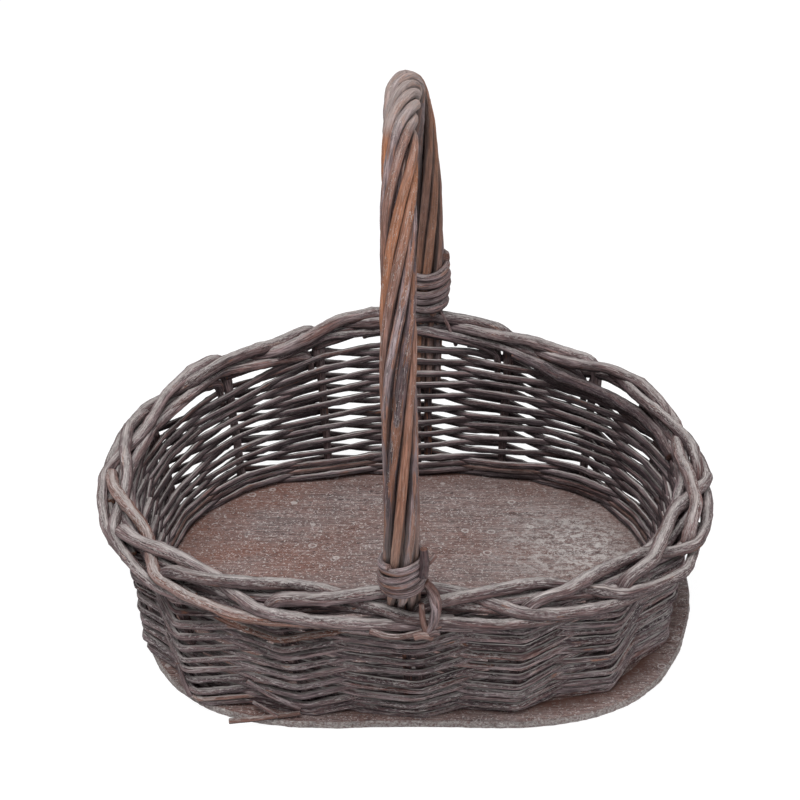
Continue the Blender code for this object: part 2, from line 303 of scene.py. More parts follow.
def between(walked, distance):
    """The last of the walked distances before this one, and how far on to the next it is."""
    low = min(max(bisect.bisect_right(walked, distance) - 1, 0), len(walked) - 2)
    return low, (distance - walked[low]) / (walked[low + 1] - walked[low])


class Outline:
    """A superellipse walked from the middle of the front, by share of its whole length.

    Fullness makes its front left corner squarer than the others.
    """

    def __init__(self, half_length, half_width, squareness, fullness, centre):
        steps = 2880
        turn = 2 * math.pi / steps
        self.angles = [turn * i - math.pi / 2 for i in range(steps + 1)]
        self.points = []
        for angle in self.angles:
            front_left = 2 * max(0.0, -math.cos(angle)) * max(0.0, -math.sin(angle))
            corner = squareness + fullness * front_left
            x, y = superellipse(half_length, half_width, corner, angle)
            self.points.append((x + centre[0], y + centre[1]))
        self.walked = lengths_along(self.points)
        self.length = self.walked[-1]

    def place(self, share):
        low, t = between(self.walked, (share - math.floor(share)) * self.length)
        a = self.points[low]
        b = self.points[low + 1]
        angle = blend(self.angles[low], self.angles[low + 1], t)
        return blend(a[0], b[0], t), blend(a[1], b[1], t), angle


class Wall:
    """The wall's middle surface, the stakes' places on it and the bow of the handle."""

    def __init__(self, settings):
        wall = settings.wall
        self.settings = settings
        self.foot = Outline(
            wall.foot_half_length, wall.foot_half_width, FOOT_SQUARENESS, FOOT_FULLNESS,
            FOOT_CENTRE)
        self.rim = Outline(
            wall.rim_half_length, wall.rim_half_width, RIM_SQUARENESS, 0.0, RIM_CENTRE)
        front = (FRONT_STAKE_X - FOOT_CENTRE[0]) / self.foot.length
        back = 0.5 - (BACK_STAKE_X - FOOT_CENTRE[0]) / self.foot.length
        half = STAKE_COUNT // 2
        self.stakes = [blend(front, back, k / half) for k in range(half)]
        self.stakes += [blend(back, front + 1.0, k / half) for k in range(half)]
        self.rim_stakes = [self.stake_share(k, RIM_LEVEL) for k in range(STAKE_COUNT)]
        self.handle_step = HANDLE_STAKE_DISTANCE / self.foot.length
        self.bow = [self.bow_point(i / BOW_STEPS) for i in range(BOW_STEPS + 1)]
        self.bow_walked = lengths_along(self.bow)
        self.bow_length = self.bow_walked[-1]
        self.bow_twist = [0.0]
        handle = settings.handle
        for a, b in zip(self.bow_walked, self.bow_walked[1:]):
            rate = blend(1.0 / handle.foot_pitch, 1.0 / handle.arm_pitch, within(a, ARM_TWIST))
            rate = blend(rate, 1.0 / handle.grip_pitch, within(a, GRIP))
            self.bow_twist.append(self.bow_twist[-1] + rate * (b - a))

    def rim_height(self, share):
        climb = abs(math.sin(self.rim.place(share)[2])) ** CLIMB_POWER
        return blend(self.settings.wall.end_rim_height, self.settings.wall.side_rim_height, climb)

    def point(self, share, height):
        """Point of the wall's middle surface."""
        foot_level = self.settings.board.thickness
        t = max(0.0, (height - foot_level) / (RIM_LEVEL - foot_level))
        fx, fy, _ = self.foot.place(share)
        rx, ry, _ = self.rim.place(share)
        return Vector((blend(fx, rx, t), blend(fy, ry, t), height))

    def frame(self, share, height):
        """Point, outward normal of the sloping wall and level outward direction."""
        step = 0.004
        here = self.point(share, height)
        ahead = self.point(share + step / self.foot.length, height)
        behind = self.point(share - step / self.foot.length, height)
        above = self.point(share, height + step)
        along = (ahead - behind).normalized()
        normal = along.cross((above - here).normalized()).normalized()
        level = Vector((along.y, -along.x, 0.0)).normalized()
        return here, normal, level

    def outward(self, point):
        """Level direction out of the basket at a point."""
        wall = self.settings.wall
        x = point.x / wall.rim_half_length ** 2
        y = point.y / wall.rim_half_width ** 2
        return Vector((x, y, 0.0)).normalized()

    def stake_share(self, index, height):
        """Share of the wall's length where a stake stands at this height."""
        risen = math.sqrt(min(1.0, max(0.0, height / RIM_LEVEL)))
        return self.stakes[index] + STAKE_LEAN.get(index, 0.0) * risen / STAKE_COUNT

    def share(self, position):
        """Share of the rim's length at a position counted in stakes."""
        whole = math.floor(position)
        turns, index = divmod(whole, STAKE_COUNT)
        turns_next, index_next = divmod(whole + 1, STAKE_COUNT)
        here = self.rim_stakes[index] + turns
        there = self.rim_stakes[index_next] + turns_next
        return blend(here, there, position - whole)

    def row_height(self, row, share):
        """The lowest rows are beaten down close; the others climb evenly to the border."""
        last = self.rim_height(share) - TOP_ROW_DROP
        close = FIRST_ROW_HEIGHT + CLOSE_ROW_RISE * min(row, CLOSE_ROWS - 1)
        climb = max(0, row - CLOSE_ROWS + 1) / (self.settings.wall.rows - CLOSE_ROWS)
        return blend(close, last, climb)

    def border_point(self, position, outward, rise):
        """Point of the border at a position in stakes, so far out of and over the rim line."""
        share = self.share(position)
        here, _, level = self.frame(share, self.rim_height(share))
        outward *= 1.0 + RIM_BULGE * nearness(share, RIM_BULGE_SHARE, RIM_BULGE_SPREAD)
        rise += BACK_LIFT * ease(1.0 - abs(share % 1.0 - 0.5) / BACK_SPREAD)
        for place, lift in RIM_WAVES:
            rise += lift * nearness(share, place, RIM_WAVE_SPREAD)
        return here + level * outward + Vector((0.0, 0.0, rise))

    def foot_place(self, index):
        """Where the bow meets the rim, beside a middle stake."""
        share = self.stakes[index] - self.handle_step
        here, _, level = self.frame(share, self.settings.wall.side_rim_height)
        return here - level * HANDLE_INSET

    def bow_point(self, turn):
        """Point of the bow's centre line, from 0 at the front rim to 1 at the back rim."""
        handle = self.settings.handle
        front = self.foot_place(0)
        back = self.foot_place(STAKE_COUNT // 2)
        start = math.asin((self.settings.wall.side_rim_height - SPRING_HEIGHT) / handle.rise)
        angle = blend(start, math.pi - start, turn)
        reach = math.cos(start) * handle.half_span
        y = -handle.half_span * math.cos(angle) + blend(front.y + reach, back.y - reach, turn)
        z = SPRING_HEIGHT + handle.rise * math.sin(angle)
        foot_x = front.x if turn < 0.5 else back.x
        x = blend(foot_x, HANDLE_TOP_X, math.sin(math.pi * turn) ** 2)
        return Vector((x - HANDLE_SWAY * math.sin(2 * math.pi * turn), y, z))

    def bow_turns(self, distance):
        """Turns that the rods have made round the bow at this distance."""
        low, t = between(self.bow_walked, min(max(distance, 0.0), self.bow_length))
        return blend(self.bow_twist[low], self.bow_twist[low + 1], t)

    def bow_frame(self, distance):
        """Point of the bow at this distance, with one side kept to +X; ends run on straight."""
        inside = min(max(distance, 0.0), self.bow_length)
        low, t = between(self.bow_walked, inside)
        here = self.bow[low].lerp(self.bow[low + 1], t)
        before = self.bow[max(0, low - 3)]
        after = self.bow[min(len(self.bow) - 1, low + 4)]
        tangent = (after - before).normalized()
        here = here + tangent * (distance - inside)
        side = Vector((1.0, 0.0, 0.0))
        side = (side - tangent * side.dot(tangent)).normalized()
        return here, side, tangent.cross(side), tangent


# Rods


def stepped(points, step):
    """Straight runs through the points, with a point about every step."""
    path = []
    for a, b in zip(points, points[1:]):
        count = max(1, round((b - a).length / step))
        for i in range(count):
            path.append(a.lerp(b, i / count))
    path.append(points[-1].copy())
    return path


def soften(path, passes):
    """The path with its bends eased, its ends kept."""
    for _ in range(passes):
        eased = [path[0]]
        for a, b, c in zip(path, path[1:], path[2:]):
            eased.append((a + b * 2 + c) / 4)
        eased.append(path[-1])
        path = eased
    return path


def new_rod_mesh():
    """An empty bmesh with the layers that the rods' materials read."""
    work = bmesh.new()
    work.verts.layers.float_vector.new("rod_space")
    work.verts.layers.float_vector.new("rod_look")
    work.verts.layers.float.new("rod_up")
    work.verts.layers.float.new("rod_top")
    return work


# Knots along a rod: their usual distance, how much it varies, half a knot's length and its swell
KNOT_GAP = 0.050
KNOT_GAP_CHANGE = 0.02
KNOT_REACH = 0.0020
KNOT_SWELL = 0.9
# Lumps and finer wrinkles in each metre of a rod
LUMPS_PER_METRE = 55.0
WRINKLES_PER_METRE = 260.0
# How wide in the noise a rod's girth is for both, and how deep wrinkles are against lumps
LUMP_GIRTH = 0.9
WRINKLE_GIRTH = 2.5
WRINKLE_DEPTH = 0.45
# How far apart in the noise the rods of two seeds begin
SEED_STEP = 3.7
# The first seed of each kind of rod, then those of the random draws
STAKE_SEED = 20
COMPANION_SEED = 60
BOW_SEED = 91
STRAND_SEED = 110
BINDING_SEED = 150
WEAVER_SEED = 200
LOOSE_END_SEED = 700
BORDER_DRAWS = 400
WEAVE_DRAWS = 1000
STRAND_DRAWS = 70


def grow_rod(work, path, radii, seed, tone, bare=0.0, dust_and_light=0.0, sides=8, facing=None, flat=1.0,
             lumps=0.10, cut_bare=0.8, lit_side=None, shade_bias=0.0):
    """Grow one rod by extruding the face of its cut end from point to point of the path.

    The rod's own space, kept on its points, is its cross-section and the distance along it,
    so that bark and grain run with the rod. Its look is its tone, how bare of bark it is and
    how dusty, where the dust also serves as painted light on the shaded back arm of the handle.
    How far a point faces up and to its lit side, less its bias to shade, is kept too: the material
    paints shade where this is low and lays whitewash and a painted highlight where it is high. How
    far it faces up is kept apart, for painted shade underneath and a painted highlight on top.
    """
    space = work.verts.layers.float_vector["rod_space"]
    looks = work.verts.layers.float_vector["rod_look"]
    ups = work.verts.layers.float["rod_up"]
    tops = work.verts.layers.float["rod_top"]
    count = len(path)
    bare_along = bare if isinstance(bare, list) else [bare] * count
    dust_and_light_along = dust_and_light if isinstance(dust_and_light, list) else [dust_and_light] * count
    tangents = []
    for i in range(count):
        ahead = path[min(i + 1, count - 1)]
        behind = path[max(i - 1, 0)]
        tangents.append((ahead - behind).normalized())
    side = tangents[0].orthogonal().normalized()
    start = bmesh.ops.create_circle(work, cap_ends=True, segments=sides, radius=radii[0])
    cap = start["verts"][0].link_faces[0]
    first_edges = list(cap.edges)
    walked = seed * SEED_STEP
    knot_gap = KNOT_GAP + KNOT_GAP_CHANGE * noise_at(seed * 1.3, 0.5, 0.0)
    for i in range(count):
        if i > 0:
            walked += (path[i] - path[i - 1]).length
            cap = bmesh.ops.extrude_discrete_faces(work, faces=[cap])["faces"][0]
        if facing is not None:
            side = facing[i]
        side = (side - tangents[i] * side.dot(tangents[i])).normalized()
        other = tangents[i].cross(side)
        knot = math.exp(-(((walked % knot_gap) - knot_gap / 2) / KNOT_REACH) ** 2)
        at_cut = i in (0, count - 1)
        look = Vector((tone, cut_bare if at_cut else bare_along[i], dust_and_light_along[i]))
        for k, vert in enumerate(cap.verts):
            angle = -k * math.tau / sides
            c = math.cos(angle)
            s = math.sin(angle)
            lump = noise_at(c * LUMP_GIRTH, s * LUMP_GIRTH, walked * LUMPS_PER_METRE)
            wrinkle = noise_at(
                c * WRINKLE_GIRTH + 7.0, s * WRINKLE_GIRTH, walked * WRINKLES_PER_METRE)
            swell = 1.0 + lumps * (lump + WRINKLE_DEPTH * wrinkle + KNOT_SWELL * knot)
            outward = side * (c * flat) + other * s
            vert.co = path[i] + outward * (radii[i] * swell)
            vert[space] = Vector((c * radii[i], s * radii[i], walked))
            vert[looks] = look
            # How far this point faces up: painted shade on undersides and a painted highlight on
            # top
            vert[tops] = outward.z
            # How far it faces up and to its lit side, less the bias to shade: painted shade where
            # low, whitewash and painted highlight where high; cut ends are kept from the darkest
            # painted shade
            light_facing = outward.z - shade_bias
            if lit_side is not None:
                light_facing += outward.dot(lit_side[i])
            vert[ups] = max(light_facing, 0.1) if at_cut else light_facing
    bmesh.ops.holes_fill(work, edges=first_edges, sides=sides)


def end_rings(path, radii, depth=0.0005, share=0.80):
    """Round off both cut ends of a rod with one more point each."""
    first = path[0] + (path[0] - path[1]).normalized() * depth
    last = path[-1] + (path[-1] - path[-2]).normalized() * depth
    return [first] + path + [last], [radii[0] * share] + radii + [radii[-1] * share]


SHARP_ANGLE = math.radians(42.0)


def finish_piece(name, work, materials, nodes):
    """Turn the bmesh into a piece that rides on the basket and stands for its nodes."""
    bmesh.ops.recalc_face_normals(work, faces=work.faces)
    mesh = bpy.data.meshes.new(name)
    work.to_mesh(mesh)
    work.free()
    mesh.shade_smooth()
    mesh.set_sharp_from_angle(angle=SHARP_ANGLE)
    for material in materials:
        mesh.materials.append(material)
    piece = bpy.data.objects.new(name, mesh)
    bpy.context.scene.collection.objects.link(piece)
    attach(piece, "root")
    if nodes:
        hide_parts(*nodes)
    return piece


# Materials


def add_node(tree, kind, settings=None):
    """Add a shader node. A setting is for one of its inputs or properties; an output is linked."""
    node = tree.nodes.new(kind)
    for key, value in (settings or {}).items():
        if isinstance(value, bpy.types.NodeSocket):
            tree.links.new(value, node.inputs[key])
        elif isinstance(key, int) or key in node.inputs:
            node.inputs[key].default_value = value
        else:
            setattr(node, key, value)
    return node


def new_material(name):
    """A material with an empty tree."""
    material = bpy.data.materials.new(name)
    material.use_nodes = True
    material.node_tree.nodes.clear()
    return material, material.node_tree


def pattern(tree, space, per_metre, low, high, detail=3.0, roughness=0.55):
    """Noise with so many features per metre each way, as a mask: 0 under low, 1 over high."""
    stretched = add_node(
        tree, "ShaderNodeMapping", {"vector_type": "POINT", "Scale": per_metre, "Vector": space})
    texture = add_node(
        tree, "ShaderNodeTexNoise",
        {"Scale": 1.0, "Detail": detail, "Roughness": roughness,
         "Vector": stretched.outputs["Vector"]})
    ramp = add_node(
        tree, "ShaderNodeMapRange",
        {"interpolation_type": "SMOOTHSTEP", "From Min": low, "From Max": high,
         "Value": texture.outputs["Fac"]})
    return ramp.outputs["Result"]


def share_of(tree, *parts):
    """The product of the parts: numbers, outputs, and outputs carried to another range.

    A part of five is an output, the range that it comes in and the one that it is held to.
    """
    whole = None
    for part in parts:
        if isinstance(part, tuple):
            value, low, high, start, end = part
            ramp = add_node(
                tree, "ShaderNodeMapRange",
                {"From Min": low, "From Max": high, "To Min": start, "To Max": end,
                 "Value": value})
            part = ramp.outputs["Result"]
        if whole is None:
            whole = part
        else:
            times = add_node(
                tree, "ShaderNodeMath", {"operation": "MULTIPLY", 0: whole, 1: part})
            whole = times.outputs["Value"]
    return whole


def lay_coats(tree, ground, *coats):
    """Lay coats over the ground in turn: each is a colour or output, and the parts of its share."""
    for coat, *parts in coats:
        if not isinstance(coat, bpy.types.NodeSocket):
            coat = tuple(coat)
        mix = add_node(
            tree, "ShaderNodeMix",
            {"data_type": "RGBA", 0: share_of(tree, *parts), 6: ground, 7: coat})
        ground = mix.outputs[2]
    return ground


def mixed_paint(first, second, share):
    """One even colour mixed from two."""
    return tuple(blend(a, b, share) for a, b in zip(first, second))


def finish_surface(tree, colour_over, height, strength, depth, roughness, gloss):
    """A dull surface with this colour over it and a relief some millimetres deep."""
    bump = add_node(
        tree, "ShaderNodeBump", {"Strength": strength, "Distance": depth * MM, "Height": height})
    shader = add_node(
        tree, "ShaderNodeBsdfPrincipled",
        {"Base Color": colour_over, "Normal": bump.outputs["Normal"], "Roughness": roughness,
         "Specular IOR Level": gloss})
    add_node(tree, "ShaderNodeOutputMaterial", {"Surface": shader.outputs["BSDF"]})


def willow_bark(name, colours, bare_share, wash_and_highlight, highlight_line=0.0):
    """Willow in its bark, dried and weathered grey brown, once whitewashed and rubbed off.

    The bark gives long streaks, dark splits and thin pale fibres that run with the rod; the wash
    is left as chalky flecks in the grain, laid more thickly on upper and outer sides as a painted
    highlight; where bark has flaked, the wood under it shows orange brown; undersides, inner faces
    and crevices take painted shade. The wash amount sets the chalk and the painted highlight on
    each rod's upper side; the ridge amount is how pale the painted highlight line along the top of
    a rod is.
    """
    material, tree = new_material(name)
    kept = {}
    for key, output in (
        ("rod_space", "Vector"), ("rod_look", "Vector"), ("rod_up", "Fac"), ("rod_top", "Fac"),
    ):
        kept[key] = add_node(
            tree, "ShaderNodeAttribute", {"attribute_name": key}).outputs[output]
    rod = kept["rod_space"]
    light_facing = kept["rod_up"]
    top = kept["rod_top"]
    look = add_node(tree, "ShaderNodeSeparateXYZ", {"Vector": kept["rod_look"]})
    tone = look.outputs["X"]
    bare = look.outputs["Y"]
    dust_and_light = look.outputs["Z"]
    wood = colours.bare_wood
    # Streaks 0.8 mm across and 13 mm long
    streaks = pattern(tree, rod, (1300.0, 1300.0, 80.0), 0.35, 0.62, 4.0, 0.60)
    # Cloudy weathering 4 mm across and 25 mm long
    clouds = pattern(tree, rod, (260.0, 260.0, 40.0), 0.35, 0.65)
    # Flaked places 3 mm across and 20 mm long
    flakes = pattern(
        tree, rod, (330.0, 330.0, 48.0), 0.62 - bare_share, 0.68 - bare_share, 5.0, 0.6)
    # Pale fibres 0.8 mm across and 8 mm long
    fibres = pattern(tree, rod, (1250.0, 1250.0, 130.0), 0.55, 0.61, 4.0, 0.6)
    # Chalky flecks 0.6 mm across and 2 mm long, thicker in patches 6 mm across and 36 mm long
    flecks = pattern(
        tree, rod, (1600.0, 1600.0, 420.0), 0.60 - wash_and_highlight * 0.1, 0.65 - wash_and_highlight * 0.1, 5.0, 0.72)
    patches = pattern(tree, rod, (180.0, 180.0, 28.0), 0.36, 0.60)
    # Shallow splits 0.8 mm apart that run 30 mm
    splits = pattern(tree, rod, (1250.0, 1250.0, 33.0), 0.40, 0.52, 2.0, 0.5)
    under_bark = lay_coats(tree, mixed_paint(wood, colours.soot_and_shade, 0.42), (wood, streaks))
    skinned = add_node(
        tree, "ShaderNodeMath",
        {"operation": "MAXIMUM", 0: share_of(tree, flakes, 0.55), 1: bare})
    # How far a point faces up and to its lit side, as a share: whitewash and painted highlight lie
    # more thickly there
    lit_share = share_of(tree, (light_facing, 0.15, 1.15, 0.12, 1.0))
    chalk_and_highlight = share_of(tree, flecks, patches, lit_share)
    bark = lay_coats(
        tree, tuple(colours.bark_dark),
        (colours.bark_light, tone),
        (colours.bark_red, clouds, (tone, 0.80, 0.84, 0.35, 0.90)),
        (colours.soot_and_shade, (streaks, 0.0, 1.0, 0.80, 0.0)),
        (under_bark, skinned.outputs["Value"]),
        # Painted shade on faces turned in or away from the lit side and in crevices, then on
        # undersides
        (colours.soot_and_shade, (light_facing, -0.6, -0.068, 0.76, 0.0)),
        (colours.soot_and_shade, (top, -0.90, -0.30, 0.70, 0.0)),
        # Pale fibres and chalk flecks, weighted towards lit sides as painted highlight
        (colours.whitewash_and_highlight, fibres, lit_share, 0.68 * wash_and_highlight),
        (colours.whitewash_and_highlight, chalk_and_highlight, 0.95),
        # Painted highlight: the upper side of each rod is painted pale, and most along a thin line
        # on top
        (colours.whitewash_and_highlight, (top, 0.74, 0.97, 0.0, 0.72 * wash_and_highlight), (streaks, 0.0, 1.0, 0.35, 1.0),
         lit_share),
        (colours.whitewash_and_highlight, (top, 0.86, 0.95, 0.0, highlight_line), (streaks, 0.0, 1.0, 0.55, 1.0),
         lit_share),
        # Dust, and painted light on the shaded back arm of the handle
        (colours.dust_and_light, dust_and_light, (clouds, 0.0, 1.0, 0.45, 0.85)),
    )
    relief = lay_coats(tree, streaks, (splits, 0.5), (chalk_and_highlight, 0.30))
    finish_surface(tree, bark, relief, strength=1.0, depth=0.9, roughness=0.78, gloss=0.14)
    return material


def washed_plywood(name, colours, low, high, inner_dirt, outer_dirt):
    """Old plywood, brown under a thin chalk wash: long grain, specks, ring-shaped drops, scuffs.

    The wash is thicker at the right-hand end of the board and worn thin at the left. A dark brown,
    part dirt and part painted shade beside the wall, changes from the inner to the outer amount
    between two reaches, counted from the middle 0 to the edge 1.
    """
    material, tree = new_material(name)
    place = add_node(tree, "ShaderNodeTexCoord").outputs["Object"]
    along = add_node(tree, "ShaderNodeSeparateXYZ", {"Vector": place}).outputs["X"]
    reach = add_node(
        tree, "ShaderNodeAttribute", {"attribute_name": "board_reach"}).outputs["Fac"]
    # Grain 0.8 mm across and 25 mm long, along the board
    grain = pattern(tree, place, (40.0, 1100.0, 1100.0), 0.36, 0.62, 5.0, 0.65)
    # Pores 0.5 mm across and 4 mm long
    pores = pattern(tree, place, (260.0, 2000.0, 2000.0), 0.54, 0.62, 2.0, 0.5)
    # Clouds of stain 50 mm across
    clouds = pattern(tree, place, (14.0, 26.0, 26.0), 0.36, 0.66, 4.0, 0.55)
    # The wash: a broken film, and a place 40 mm across at the right that is scraped pale
    film = pattern(tree, place, (70.0, 190.0, 190.0), 0.36, 0.62, 7.0, 0.75)
    mottle = pattern(tree, place, (230.0, 300.0, 300.0), 0.46, 0.58, 7.0, 0.8)
    worn = add_node(
        tree, "ShaderNodeMapping",
        {"vector_type": "POINT", "Scale": (24.0, 30.0, 24.0), "Vector": place})
    far = add_node(
        tree, "ShaderNodeVectorMath",
        {"operation": "DISTANCE", 0: worn.outputs["Vector"], 1: (2.62, 1.05, 0.1)})
    # Specks 1 mm across, and thin pale dashes along the grain, 0.6 mm across and 8 mm long
    specks = pattern(tree, place, (720.0, 900.0, 900.0), 0.572, 0.597, 4.0, 0.75)
    dashes = pattern(tree, place, (110.0, 1500.0, 1500.0), 0.56, 0.64, 3.0, 0.55)
    # Drops 4 mm across that dried as rings, in one cell of the pattern out of four
    cells = add_node(
        tree, "ShaderNodeMapping",
        {"vector_type": "POINT", "Scale": (75.0, 95.0, 75.0), "Vector": place})
    drops = add_node(
        tree, "ShaderNodeTexVoronoi",
        {"Scale": 1.0, "Randomness": 1.0, "Vector": cells.outputs["Vector"]})
    ring = add_node(
        tree, "ShaderNodeMath",
        {"operation": "COMPARE", 0: drops.outputs["Distance"], 1: 0.17, 2: 0.035})
    chance = add_node(tree, "ShaderNodeSeparateColor", {"Color": drops.outputs["Color"]})
    some = add_node(
        tree, "ShaderNodeMath", {"operation": "GREATER_THAN", 0: chance.outputs["Red"], 1: 0.72})
    base = lay_coats(
        tree, mixed_paint(colours.board, colours.soot_and_shade, 0.66),
        (colours.board, grain),
        (colours.board_brown, clouds, (along, -0.12, 0.00, 1.0, 0.45)),
        (colours.soot_and_shade, pores, 0.80),
        (colours.whitewash_and_highlight, film, (along, -0.03, 0.09, 0.25, 0.65), 0.30),
        (colours.whitewash_and_highlight, (far.outputs["Value"], 0.25, 1.60, 1.0, 0.0), mottle),
        (colours.whitewash_and_highlight, dashes, 0.26),
        (colours.whitewash_and_highlight, specks, 0.90),
        (colours.whitewash_and_highlight, ring.outputs["Value"], some.outputs["Value"], 0.6),
        # Dark brown near the foot of the wall: dirt, and painted shade where the wall shades the
        # board
        (mixed_paint(colours.board_brown, linear(0x3A2A26), 0.65),
         (reach, low, high, inner_dirt, outer_dirt)),
    )
    relief = lay_coats(tree, grain, (specks, 0.5))
    finish_surface(tree, base, relief, strength=0.6, depth=0.5, roughness=0.82, gloss=0.14)
    return material


def sawn_edge(name, colours):
    """The board's sawn edge: plies 1.3 mm thick, furred pale with chalk and dust."""
    material, tree = new_material(name)
    place = add_node(tree, "ShaderNodeTexCoord").outputs["Object"]
    layers = add_node(
        tree, "ShaderNodeMapping",
        {"vector_type": "POINT", "Scale": (60.0, 60.0, 240.0), "Vector": place})
    plies = add_node(
        tree, "ShaderNodeTexWave",
        {"wave_type": "BANDS", "bands_direction": "Z", "Scale": 1.0, "Distortion": 2.5,
         "Detail": 2.0, "Detail Scale": 2.0, "Vector": layers.outputs["Vector"]})
    # Torn fibres 1.5 mm long, and dirt in places 10 mm long
    rough = pattern(tree, place, (620.0, 620.0, 800.0), 0.36, 0.62, 6.0, 0.78)
    dirt = pattern(tree, place, (90.0, 90.0, 300.0), 0.50, 0.68, 5.0, 0.7)
    base = lay_coats(
        tree, mixed_paint(colours.board, colours.soot_and_shade, 0.25),
        (colours.board, plies.outputs["Fac"]),
        (colours.whitewash_and_highlight, rough),
        (colours.soot_and_shade, dirt, 0.40),
    )
    finish_surface(tree, base, rough, strength=0.9, depth=0.8, roughness=0.88, gloss=0.10)
    return material


# Operators


BOARD_SEGMENTS = 480
# How far the board's underside stands over the ground
BOARD_LIFT = 0.0004
# Waves of the outline round the board, and how deep its sawn edge is dented and splintered
BOARD_WAVES = 6.0
EDGE_DENTS = 0.0007
DENTS_PER_METRE = 60.0
EDGE_SPLINTERS = 0.0004
SPLINTERS_PER_METRE = 330.0
EDGE_ROUNDING = 0.0011
# The margin outside the weave, dirty and darkened with painted shade near the wall, begins at this
# part of the board's length and width
MARGIN_SCALE = (0.91, 0.88, 1.0)


class BASKET_OT_base_board(bpy.types.Operator):
    """Lay the plywood base board"""

    bl_idname = "basket.base_board"
    bl_label = "Base Board"

    def execute(self, context):
        settings = context.scene.basket
        board = settings.board
        work = bmesh.new()
        reach = work.verts.layers.float.new("board_reach")
        ring = bmesh.ops.create_circle(
            work, cap_ends=True, segments=BOARD_SEGMENTS, radius=1.0)["verts"]
        for vert in ring:
            angle = math.atan2(vert.co.y, vert.co.x)
            right = math.cos(angle) > 0.0
            half_length = board.right_half_length if right else board.left_half_length
            squareness = BOARD_SQUARENESS if angle > 0.0 else BOARD_FRONT_SQUARENESS
            x, y = superellipse(half_length, board.half_width, squareness, angle)
            around = math.atan2(y / board.half_width, x / half_length)
            swell = 1.0 + BOARD_WAVER * math.cos(BOARD_WAVES * around)
            x *= swell
            y *= swell
            rough = EDGE_DENTS * noise_at(x * DENTS_PER_METRE, y * DENTS_PER_METRE, 3.0)
            rough += EDGE_SPLINTERS * noise_at(
                x * SPLINTERS_PER_METRE, y * SPLINTERS_PER_METRE, 9.0)
            outward = Vector((x, y, 0.0)).normalized()
            vert.co = Vector((x + BOARD_CENTRE_X, y, BOARD_LIFT))
            vert.co += outward * (rough - EDGE_SPLINTERS)
        face = ring[0].link_faces[0]
        moved = bmesh.ops.extrude_face_region(work, geom=[face])["geom"]
        top = [item for item in moved if isinstance(item, bmesh.types.BMVert)]
        bmesh.ops.translate(work, verts=top, vec=(0.0, 0.0, board.thickness - BOARD_LIFT))
        lid = [item for item in moved if isinstance(item, bmesh.types.BMFace)]
        inner = bmesh.ops.extrude_discrete_faces(work, faces=lid)["faces"][0]
        bmesh.ops.scale(work, verts=inner.verts, vec=MARGIN_SCALE)
        inner_ring = set(inner.verts)
        # The level edges round the top and the underside, beside the sawn edge
        rims = [edge for edge in work.edges if len(edge.link_faces) == 2]
        rims = [edge for edge in rims if any(abs(f.normal.z) < 0.5 for f in edge.link_faces)]
        rims = [edge for edge in rims if abs(edge.verts[0].co.z - edge.verts[1].co.z) < 1e-6]
        bmesh.ops.bevel(
            work, geom=rims, offset=EDGE_ROUNDING, offset_type="OFFSET", segments=3, profile=0.5,
            affect="EDGES", material=-1)
        bmesh.ops.recalc_face_normals(work, faces=work.faces)
        broad = [face for face in work.faces if len(face.verts) == BOARD_SEGMENTS]
        bmesh.ops.poke(work, faces=broad)
        for vert in work.verts:
            if len(vert.link_edges) >= BOARD_SEGMENTS:
                vert[reach] = 0.0
            else:
                vert[reach] = 0.9 if vert in inner_ring else 1.0
        for face in work.faces:
            if abs(face.normal.z) < 0.98:
                face.material_index = 1
            elif len(face.verts) == 4:
                face.material_index = 2
        # Both tops darken towards the wall with dirt and painted shade: inside near the wall's
        # foot, and the margin most beside the wall
        materials = [
            washed_plywood(
                "washed_plywood", settings.colours, low=0.70, high=0.90, inner_dirt=0.0,
                outer_dirt=0.45),
            sawn_edge("sawn_plywood_edge", settings.colours),
            washed_plywood(
                "dirty_shaded_plywood_margin", settings.colours, low=0.905, high=0.98, inner_dirt=0.95,
                outer_dirt=0.05),
        ]
        finish_piece("plywood_base", work, materials, ["base_board"])
        return {"FINISHED"}


class BASKET_OT_side_rods(bpy.types.Operator):
    """Stand the stakes and lay their tops down as the border"""

    bl_idname = "basket.side_rods"
    bl_label = "Stakes and Border"

    def execute(self, context):
        wall = Wall(context.scene.basket)
        bark = willow_bark(
            "weathered_willow_border", wall.settings.colours, bare_share=-0.01, wash_and_highlight=1.0,
            highlight_line=0.3)
        for index in range(STAKE_COUNT):
            chance = random.Random(BORDER_DRAWS + index)
            work = new_rod_mesh()
            grow_stake(work, wall, index, chance)
            grow_companion(work, wall, index, chance)
            name = f"side_rod_{index + 1:02d}"
            node = f"side_stake_{index + 1:02d}"
            finish_piece(name, work, [bark], [node])
        return {"FINISHED"}


PATH_STEP = 0.003
# Heights that a stake passes: a little over the ground, then in the weave
STAKE_HEIGHTS = (0.0032, 0.030, 0.060)
# The last one, and those where a thinner rod goes in, counted down from the border
STAKE_BEND_DROP = 0.020
COMPANION_DROPS = (0.022, 0.014)
# Thickness of a border rod against the usual, at its bend, and how much it thins in a spacing
STAKE_THICKNESS = (0.92, 1.10)
STAKE_TAPER = (1.03, 0.06)
COMPANION_THICKNESS = (0.62, 0.90)
COMPANION_TAPER = 0.07
# A thinner rod's foot against a stake
COMPANION_FOOT = 0.75
# Stakes that lost more of their bark: how many of all, how bare they are and how bare others are
BARE_STAKES = 0.2
STAKE_BARENESS = (0.30, 0.04)
# How much a border rod's outer side counts as lit: its inner side takes more painted shade, its
# outer side more wash and painted highlight
STAKE_LIT_SIDE = 0.2
COMPANION_LIT_SIDE = 0.3
# Where a stake's tip begins, in spacings, and how long it is against the usual
TIP_START = 2.0
TIP_LENGTH = (0.96, 1.06)
